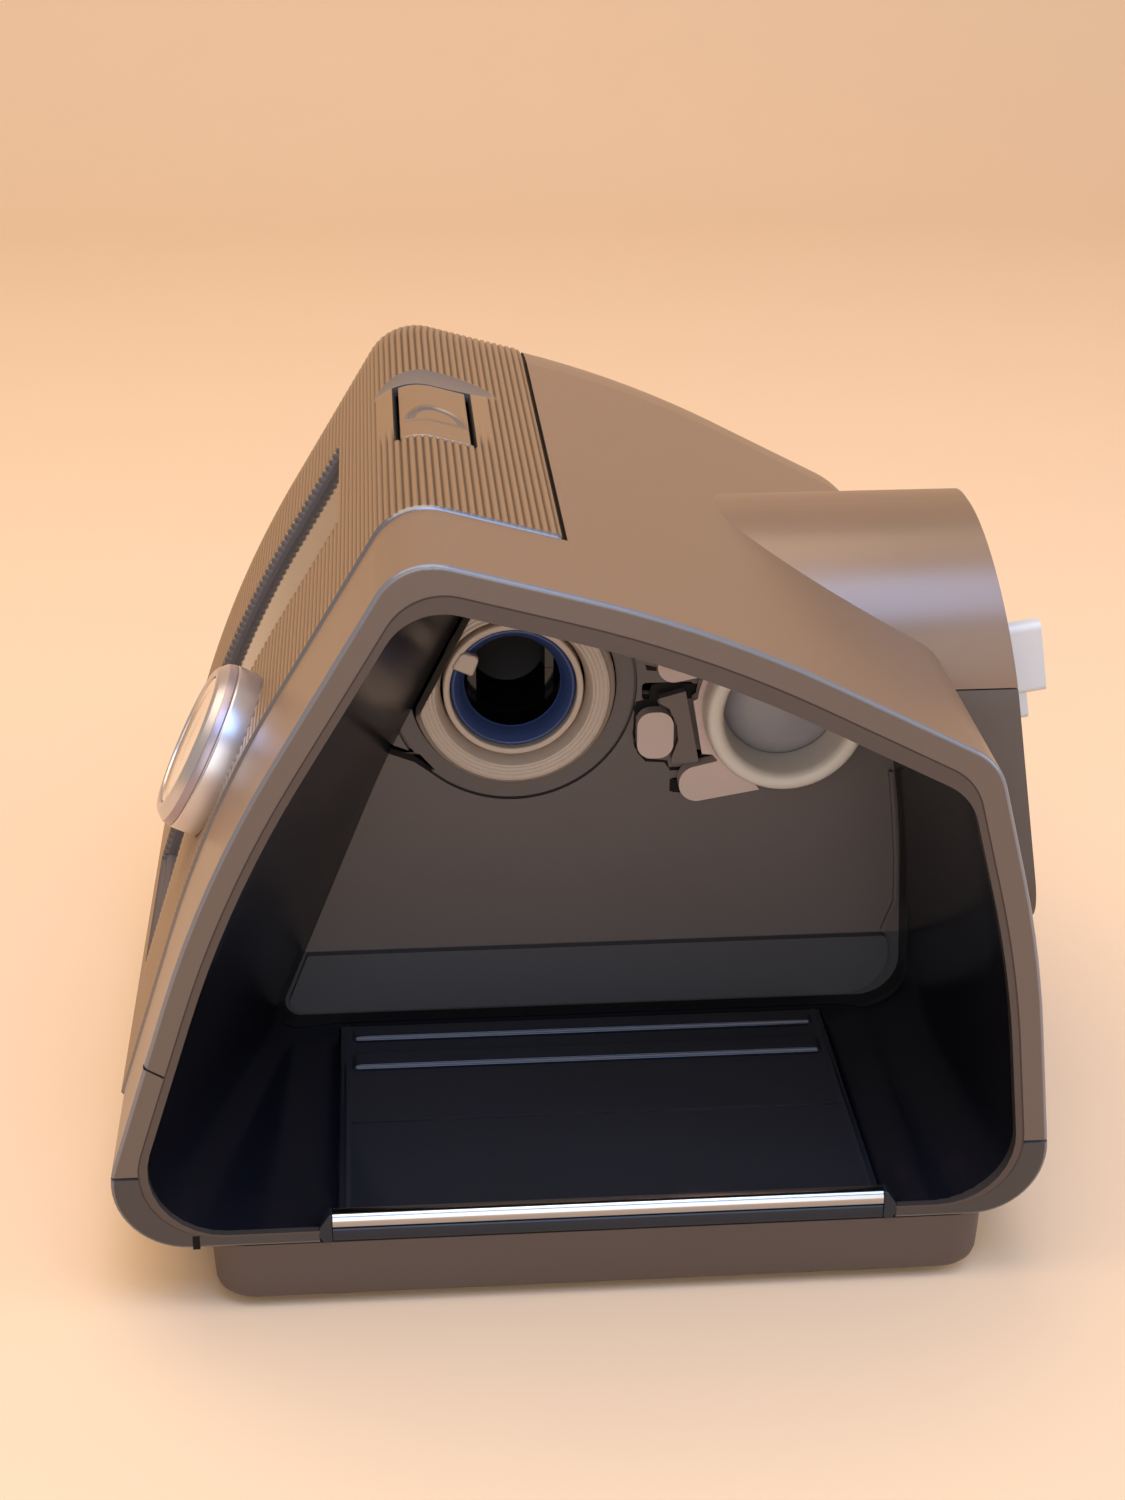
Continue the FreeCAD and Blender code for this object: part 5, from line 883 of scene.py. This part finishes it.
# The groove attribute carries the painted shade of the ribs' grooves, 1 at a groove's floor.
layer = fascia.data.attributes.new("groove", "FLOAT", "POINT")
layer.data.foreach_set("value", on_points(groove))
print("silver faces", int((slots == SHEEN_SLOT).sum()))

# %% [markdown]
# ## The display's glass
# The glass lies in its slot a little below the front and follows the same bow. A flat pane would stand clear
# of the slot at its middle, so the pane is the front's own walk once more, a step further in, without ribs.

# %% Display glass
GLASS_STEP, GLASS_BORDER, GLASS_WALL = 1.5, 1.0, 2.6
GLASS_GRID = (90, 12)
glass_rows = np.linspace(channel_top + GLASS_BORDER, channel_foot - GLASS_BORDER, GLASS_GRID[0])
glass_columns = np.linspace(CHANNEL_X[1] - GLASS_BORDER, CHANNEL_X[0] + GLASS_BORDER, GLASS_GRID[1])
glass_grid, glass_outs = skin_grid(walk, glass_rows, glass_columns, np.zeros(GLASS_GRID), GLASS_STEP)
window = walled_grid("display_window", glass_grid, -glass_outs * GLASS_WALL)[0]
window.data.set_sharp_from_angle(angle=math.radians(40))
stand_for(window, glass_dark, "machine", "display_glass")
print("display window faces", len(window.data.polygons))

# %% [markdown]
# ## The start button
# The button is a tongue of the same skin, free on three sides. Its finger mark is a shallow half moon: a
# rounded groove along a half oval and a fine straight line at its base. It could be cut with a boolean, but a
# depth below the skin, worked out at each point, leaves an even grid that shades cleanly.

# %% Start button
MOON_X, MOON_Y, MOON_FAR, MOON_HALF = 11.0, -20.7, 9.3, 5.6
MOON_DEEP, MOON_LINE, MOON_SHEEN_DEPTH = 0.55, 0.22, 0.16
RING_MIDDLE, RING_WIDTH = 0.84, 0.16
EDGE_ROUND, FAR_ROUND = 0.35, 1.35
BUTTON_WALL = 1.4
BUTTON_GRID = (64, 120)


def moon_ring(x, y):
    """Distance from the half oval's centre: sqrt(((x - x0) / length)^2 + ((y - y0) / half)^2)."""
    return np.sqrt(((x - MOON_X) / MOON_FAR) ** 2 + ((y - MOON_Y) / MOON_HALF) ** 2)


def moon_depth(x, y):
    """Depth of the finger mark: a rounded groove along the half oval, and a fine straight one at its base."""
    ring = np.clip(1 - ((moon_ring(x, y) - RING_MIDDLE) / RING_WIDTH) ** 2, 0, 1)
    base = np.clip(1 - ((x - MOON_X) / 0.7) ** 2, 0, 1)
    base = base * np.clip((MOON_HALF + 0.5 - np.abs(y - MOON_Y)) / 0.4, 0, 1)
    return np.where(x < MOON_X - 0.9, MOON_DEEP * ring ** 0.7, 0.0) + MOON_LINE * base


def edge_drop(distance, radius):
    """How far a rounded edge falls at a distance from the border: r - sqrt(r^2 - (r - d)^2)."""
    short = np.clip(radius - distance, 0, radius)
    return radius - np.sqrt(radius ** 2 - short ** 2)


button_rows = np.linspace(walk.find(0, BUTTON_Y[1]), walk.find(0, BUTTON_Y[0]), BUTTON_GRID[0])
button_columns = np.linspace(BUTTON_X[1] - 0.3, BUTTON_X[0], BUTTON_GRID[1])
along_edge = np.minimum(button_rows - button_rows[0], button_rows[-1] - button_rows)
across_edge = button_columns - BUTTON_X[0]
button_y = walk.place(button_rows, SINK)[0][:, :1]
finger_mark = moon_depth(button_columns[None, :], button_y)
rounding = edge_drop(along_edge, EDGE_ROUND)[:, None] + edge_drop(across_edge, FAR_ROUND)[None, :]
button_grid, button_outs = skin_grid(walk, button_rows, button_columns, rounding + finger_mark, SINK)
button, points, faces = walled_grid("start_button", button_grid, -button_outs * BUTTON_WALL)
stand_for(button, champagne, "power_key", "power_button")
button.data.materials.append(sheen_silver)
# Painted reflection: faces of the finger mark deeper than a threshold take the silver finish for its sheen.
moon_sheen = np.zeros(len(points), bool)
moon_sheen[:finger_mark.size] = (finger_mark > MOON_SHEEN_DEPTH).ravel()
button.data.polygons.foreach_set("material_index", moon_sheen[faces].all(axis=1).astype(np.int32))
print("button faces", len(faces))

# %% [markdown]
# ## The knob
# A knob like this is turned from bar on a lathe: a straight satin skirt, a fine line, a bevelled band, a
# polished bevel and a dished face. A bevelled cylinder would give none of the fine lines, so two half
# sections are turned round the knob's tilted axis. The band is pinker, so its faces take a second finish.

# %% Knob
SKIRT = softened([(3.1, 3.6), (13.2, 3.6), (13.2, 1.4), (15.0, 1.4), (15.0, 5.7), (14.82, 5.85), (14.82, 6.0),
                  (14.96, 6.15), (14.6, 7.4), (14.45, 7.55), (13.5, 8.6), (12.9, 9.0), (11.9, 8.95),
                  (11.72, 8.7), (11.7, 7.0), (3.1, 7.0), (3.1, 3.6)], 0.14, 3)
BAND = (6.05, 7.5)
KNOB_STEPS = 160
skirt = stand_for(turned("knob_skirt_turned", SKIRT, KNOB_SPOT, KNOB_AXIS, KNOB_STEPS), satin_silver, "knob",
                  "knob_skirt")
skirt.data.materials.append(mauve)
heights = (points_of(skirt) - KNOB_SPOT) @ KNOB_AXIS
corners = heights[np.array([face.vertices[:] for face in skirt.data.polygons])]
band_faces = (corners.min(axis=1) > BAND[0]) & (corners.max(axis=1) < BAND[1])
skirt.data.polygons.foreach_set("material_index", band_faces.astype(np.int32))
DISH = softened([(0.0, 8.0), (6.0, 8.06), (10.2, 8.3), (11.2, 8.62), (11.55, 8.6), (11.6, 7.05), (0.0, 7.05)],
                0.25, 4)
stand_for(turned("knob_face_turned", DISH, KNOB_SPOT, KNOB_AXIS, KNOB_STEPS), polished, "knob", "knob_face")
print("band faces of the knob", int(band_faces.sum()))


# %% [markdown]
# ## The bay
# The bay is one moulding that funnels from the open rim to the panel with the ports. It could be cut out of a
# block, but lofting from one outline to the other gives the same walls that the mould has: each point of the
# mouth's outline is joined by a straight line to its partner on the back panel's outline. A narrow strip
# round the mouth, a step lower at the casing's rim, is a second loft, with a dark joint line beside it.

# %% Outlines of the mouth and the back
SKIN_ROUNDS = [12.5, 12.5, 200.0, 10.0, 200.0, 10.0, 200.0]
BAY_BACK = [(-53.5, 17.2), (67.0, 17.2), (65.0, 62.0), (58.0, 92.0), (22.0, 110.0), tuple(WALL_HEAD),
            tuple(WALL_FOOT)]
BAY_BACK_ROUNDS = [3.0, 8.0, 200.0, 8.0, 200.0, 8.0, 200.0]
ARC_POINTS = 10
WALL_ANGLE = math.radians(38)


def with_floor_marks(corners, radii, marks):
    """The outline with extra points on its floor, which is its first edge, and an arc at each corner."""
    floor = corners[0][1]
    corners = [corners[0], *[(mark, floor) for mark in marks], *corners[1:]]
    return rounded(corners, [radii[0], *[0.0] * len(marks), *radii[1:]], ARC_POINTS)


def mouth(steps, marks):
    """The casing's outline moved in by one step per edge."""
    return with_floor_marks(moved_in(SKIN, steps), SKIN_ROUNDS, marks)


def loft(name, outlines, places, gone, thickness=0.0):
    """Straight walls between outlines of as many points each: (place along X, outline's point)."""
    outlines = np.array(outlines)
    x = np.broadcast_to(np.asarray(places)[:, None, None], (*outlines.shape[:2], 1))
    grid = np.concatenate([x, outlines], axis=2)
    faces = grid_faces(*grid.shape[:2], closed=True)
    faces = faces[~gone(grid.reshape(-1, 3)[faces].mean(axis=1))]
    made = add_object(name, grid.reshape(-1, 3), faces.tolist())
    made.data.set_sharp_from_angle(angle=WALL_ANGLE)
    if thickness:
        wall = made.modifiers.new("wall", "SOLIDIFY")
        wall.thickness = thickness * MM
        wall.offset = -1.0
    return made


print("back of the bay with", len(BAY_BACK), "corners")

# %% Liner
PLATE_MARKS = (-41.8, 50.8)
PLATE_FAR_X = 20.7
FUNNEL_NEAR_X, FUNNEL_FAR_X = 82.0, 15.0
SILL_TOP = 19.0


def liner_rows():
    """Two rows at the rim, then mouth * (1 - share) + back * share at even steps to the back."""
    at_rim = mouth([2.53] + [5.03] * 6, PLATE_MARKS)
    inside = mouth([3.7] + [5.6] * 6, PLATE_MARKS)
    back = with_floor_marks(BAY_BACK, BAY_BACK_ROUNDS, PLATE_MARKS)
    places = np.array([84.75, 83.9, *np.linspace(79.0, PLATE_FAR_X, 10), FUNNEL_FAR_X])
    share = ((FUNNEL_NEAR_X - places[2:]) / (FUNNEL_NEAR_X - FUNNEL_FAR_X))[:, None, None]
    return np.concatenate([[at_rim, at_rim], inside * (1 - share) + back * share]), places


def over_plate(middle):
    """Cells of the floor where the warming plate shows."""
    return ((middle[:, 0] > PLATE_FAR_X) & (middle[:, 1] > PLATE_MARKS[0]) & (middle[:, 1] < PLATE_MARKS[1])
            & (middle[:, 2] < SILL_TOP))


outlines, places = liner_rows()
liner = loft("bay_walls", outlines, places, over_plate, 0.8)
stand_for(liner, bay_black, "machine", "bay_liner")
print("liner faces", len(liner.data.polygons))

# %% Strip and joint line round the mouth
CAP_MARKS = (-44.6, 52.8)
STRIP_OUT = [2.2, 4.3, 4.6, 4.5, 4.5, 4.1, 3.9]
STRIP_IN = [2.56, 5.4, 5.7, 7.1, 7.2, 5.3, 5.08]
JOINT_OUT = [2.17, 4.0, 4.3, 4.25, 4.25, 3.85, 3.65]
JOINT_IN = [step - 0.02 for step in STRIP_OUT]


def behind_bar(middle):
    """Cells of the sill between the two caps of the bar."""
    return (middle[:, 1] > CAP_MARKS[0]) & (middle[:, 1] < CAP_MARKS[1]) & (middle[:, 2] < SILL_TOP)


def mouth_band(name, outside, inside, places, finish):
    """A band round the mouth between two outlines, turned back at both edges."""
    outer, inner = mouth(outside, CAP_MARKS), mouth(inside, CAP_MARKS)
    stand_for(loft(name, [inner, inner, outer, outer], places, behind_bar), finish, "machine")


mouth_band("mouth_strip", STRIP_OUT, STRIP_IN, [83.0, 85.08, 85.08, 84.2], frame_strip)
mouth_band("mouth_joint", JOINT_OUT, JOINT_IN, [84.2, 85.04, 85.04, 84.2], dark_line)
print("strip and joint line made")

# %% [markdown]
# ## Warming plate and sill bar
# The plate under the tub is pressed from sheet, with two raised ridges across it near the back and a rolled
# rail at each side, so its top is worked out as a height over the sheet. Bevelled boxes on a flat sheet would
# show a seam where a press leaves a smooth foot. The bar at the sill is drawn metal: one section carried
# straight along its length, in a bright rail and a band below it, with a facetted cap at each end. The band's
# dark blue is painted shade for the shaded lower chamfer of the same metal.

# %% Warming plate
PLATE_LOW, PLATE_HIGH = (21.0, -41.5), (81.9, 50.5)
PLATE_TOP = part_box("heater_plate")[1][2] / MM - 0.8
PLATE_EDGE, PLATE_WALL, FLANK = 0.5, 0.6, 0.7
RIDGES = ((23.0, 26.7, 0.8), (31.8, 36.9, 0.8), (54.2, 55.4, 0.12))
RAILS = ((PLATE_LOW[1] + 0.6, PLATE_LOW[1] + 2.0, 0.3), (PLATE_HIGH[1] - 2.0, PLATE_HIGH[1] - 0.6, 0.3))


def bump_height(x, near, far, height):
    """A ridge with sloping sides: height * s(rise) * s(fall), where s(t) = 3 t^2 - 2 t^3."""
    rise = np.clip((x - near) / FLANK, 0, 1)
    fall = np.clip((far - x) / FLANK, 0, 1)
    return height * (3 * rise ** 2 - 2 * rise ** 3) * (3 * fall ** 2 - 2 * fall ** 3)


def plate_surface(x, y):
    """Height of the plate: ridges across it, a low rail along each side and a rounded border."""
    inset = np.minimum(np.minimum(x - PLATE_LOW[0], PLATE_HIGH[0] - x),
                       np.minimum(y - PLATE_LOW[1], PLATE_HIGH[1] - y))
    across = np.clip((PLATE_HIGH[1] - 2.2 - y) / 0.8, 0, 1) * np.clip((y - PLATE_LOW[1] - 2.2) / 0.8, 0, 1)
    ridges = sum(bump_height(x, *ridge) for ridge in RIDGES) * across
    rails = sum(bump_height(y, *rail) for rail in RAILS)
    return PLATE_TOP + ridges + rails - edge_drop(inset, PLATE_EDGE)


def line_of(low, high, marks, step):
    """Even places from low to high, with finer ones on both sides of each mark and at the ends."""
    marks = np.array(marks)[:, None]
    fine = [(marks + np.linspace(-0.1, 0.9, 8)).ravel(), (marks + np.linspace(-0.8, 0.2, 8)).ravel()]
    end = np.array([0.0, 0.05, 0.15, 0.3, 0.5])
    line = np.unique(np.round(np.concatenate([np.arange(low, high, step), *fine, low + end, high - end]), 3))
    return line[(line >= low) & (line <= high)]


ridge_marks = [place for ridge in RIDGES for place in ridge[:2]]
rail_marks = [PLATE_LOW[1] + 0.6, PLATE_LOW[1] + 2.2, PLATE_HIGH[1] - 1.4, PLATE_HIGH[1] - 2.6]
plate_x, plate_y = np.meshgrid(line_of(PLATE_LOW[0], PLATE_HIGH[0], ridge_marks, 2.0)[::-1],
                               line_of(PLATE_LOW[1], PLATE_HIGH[1], rail_marks, 4.0), indexing="ij")
sheet = np.stack([plate_x, plate_y, plate_surface(plate_x, plate_y)], axis=-1)
down = np.broadcast_to(np.array([0.0, 0.0, -PLATE_WALL]), sheet.shape)
warm_plate = walled_grid("warming_plate", sheet, down)[0]
stand_for(warm_plate, dark_anodised, "hot_plate", "heater_plate")
print("plate faces", len(warm_plate.data.polygons))

# %% Sill bar
BAR_ENDS = (-42.5, 50.7)
RAIL_SECTION = softened([(82.3, 16.5), (84.9, 16.5), (85.0, 16.8), (85.0, 17.7), (84.5, 18.5), (83.9, 18.8),
                         (82.6, 18.8), (82.3, 18.6), (82.3, 16.55)], 0.35, 4)[1:-1]
BAND_SECTION = softened([(82.3, 13.6), (84.6, 13.6), (84.85, 14.0), (84.85, 16.0), (84.5, 16.2), (84.2, 16.5),
                         (82.3, 16.5), (82.3, 13.65)], 0.2, 3)[1:-1]
CAP_SECTION = [(0.0, 13.5), (1.6, 13.6), (2.4, 14.7), (2.3, 16.5), (0.6, 19.1), (0.0, 19.1)]


def along_y(a, b, h):
    """A place function for sections in X and Z that are carried along Y."""
    return a, h, b


stand_for(plate("bar_rail", RAIL_SECTION, along_y, *BAR_ENDS, 0.05, 1), bar_metal, "machine", "sill_bar")
# Painted shade: the band is the bar's own metal in a darker tone for its shaded lower chamfer.
stand_for(plate("bar_band", BAND_SECTION, along_y, *BAR_ENDS, 0.05, 1), shade_and_cap_blue, "machine")
for name, inner, side in (("bar_cap_front", BAR_ENDS[0], -1.0), ("bar_cap_rear", BAR_ENDS[1], 1.0)):
    facet = [(inner + side * out, z) for out, z in CAP_SECTION][::int(side)]
    stand_for(plate(name, facet, IN_PLACE, 82.3, 85.2, 0.45, 1), shade_and_cap_blue, "machine", "sill_bar_caps")
print("sill bar of rail, band and two caps made")

# %% [markdown]
# ## Fine joints in the rim
# Where two mouldings meet at the rim there is a dark hairline, and the sill has a small notch. A line drawn
# in a texture would blur close up, so each is a thin dark plate that stands out by 0.06 mm. The notch is not
# cut: its plate is painted shadow for the shade inside it.

# %% Joints in the rim
JOINT_HEIGHTS = (84.0, 85.06)
RIM_JOINTS = {
    "rim_joint": [(-71.75, 49.05), (-71.6, 48.65), (-68.6, 46.75), (-68.45, 47.1)],
    # Painted shadow: a dark plate stands for the shade in the sill's notch.
    "sill_notch_shadow": [(-65.8, 13.45), (-64.6, 13.45), (-64.6, 16.05), (-65.8, 16.05)],
}
for name, spots in RIM_JOINTS.items():
    stand_for(plate(name, spots, IN_PLACE, *JOINT_HEIGHTS, 0.02, 1), throat_black, "machine")
print("rim joints made", len(RIM_JOINTS))

# %% [markdown]
# ## Plinth and painted shadow in the top gap
# The plinth lifts the machine off the table. Its sides are nearly upright and its lower edge is rounded. A
# bevelled box could not draw in towards the table, so the plinth is a stack of rounded rectangles, each a
# little smaller than the one above. A thin black strip fills the gap between the roof and the ribbed front as
# painted shadow for the shade down in the gap. It lies in the skin, so it follows the roof's own formula.

# %% Plinth
PLINTH_X, PLINTH_Y, PLINTH_ROUND = (-76.0, 84.6), (-63.2, 69.0), 6.0
PLINTH_STEPS = [(13.4, 0.0), (7.0, 0.25), (4.2, 0.4), (3.0, 0.7), (2.1, 1.3), (1.5, 2.2), (1.2, 3.4)]


def plinth_ring(height, draw):
    """A rounded rectangle at a height, drawn in on every side."""
    x0, x1, y0, y1 = PLINTH_X[0] + draw, PLINTH_X[1] - draw, PLINTH_Y[0] + draw, PLINTH_Y[1] - draw
    ring = rounded([(x0, y0), (x1, y0), (x1, y1), (x0, y1)], PLINTH_ROUND, 8)
    return np.column_stack([ring, np.full(len(ring), height)])


rings = np.array([plinth_ring(*step) for step in PLINTH_STEPS])
foot = add_object("plinth_shell", rings.reshape(-1, 3), capped(rings))
face_outwards(foot)
foot.data.set_sharp_from_angle(angle=math.radians(50))
# The plinth's finish carries painted shade: a darkened taupe.
stand_for(foot, plinth_shade_taupe, "machine", "plinth")
print("plinth faces", len(foot.data.polygons))

# %% Painted shadow in the top gap
GAP_SHADOW_Y, GAP_SHADOW_STEP = np.array([-0.3, -0.3, -2.3, -2.3]), np.array([2.0, 0.7, 0.7, 2.0])


def roof_height(x, y, step):
    """Height of the roof's straight run at a step inside: z0 + m (y - y0) - inset * sqrt(1 + m^2)."""
    (top_y, top_z), (bend_y, bend_z) = SKIN[4], SKIN[5]
    slope = (bend_z - top_z) / (bend_y - top_y)
    return top_z + slope * (y - top_y) - draw_in(x, step) * math.sqrt(1 + slope ** 2)


gap_shadow_x = np.concatenate([[59.0, 20.0, -30.0, -45.0], np.linspace(-48.0, -69.0, 12)])[:, None]
gap_shadow_z = roof_height(gap_shadow_x, GAP_SHADOW_Y, GAP_SHADOW_STEP)
gap_shadow = np.stack(np.broadcast_arrays(gap_shadow_x, GAP_SHADOW_Y, gap_shadow_z), axis=-1)
# Painted shadow: a black strip stands for the shade down in the gap.
gap_shadow_strip = grid_mesh("top_gap_shadow", gap_shadow, smooth=False)
stand_for(gap_shadow_strip, throat_black, "machine")
print("gasket faces", len(gap_shadow_strip.data.polygons))
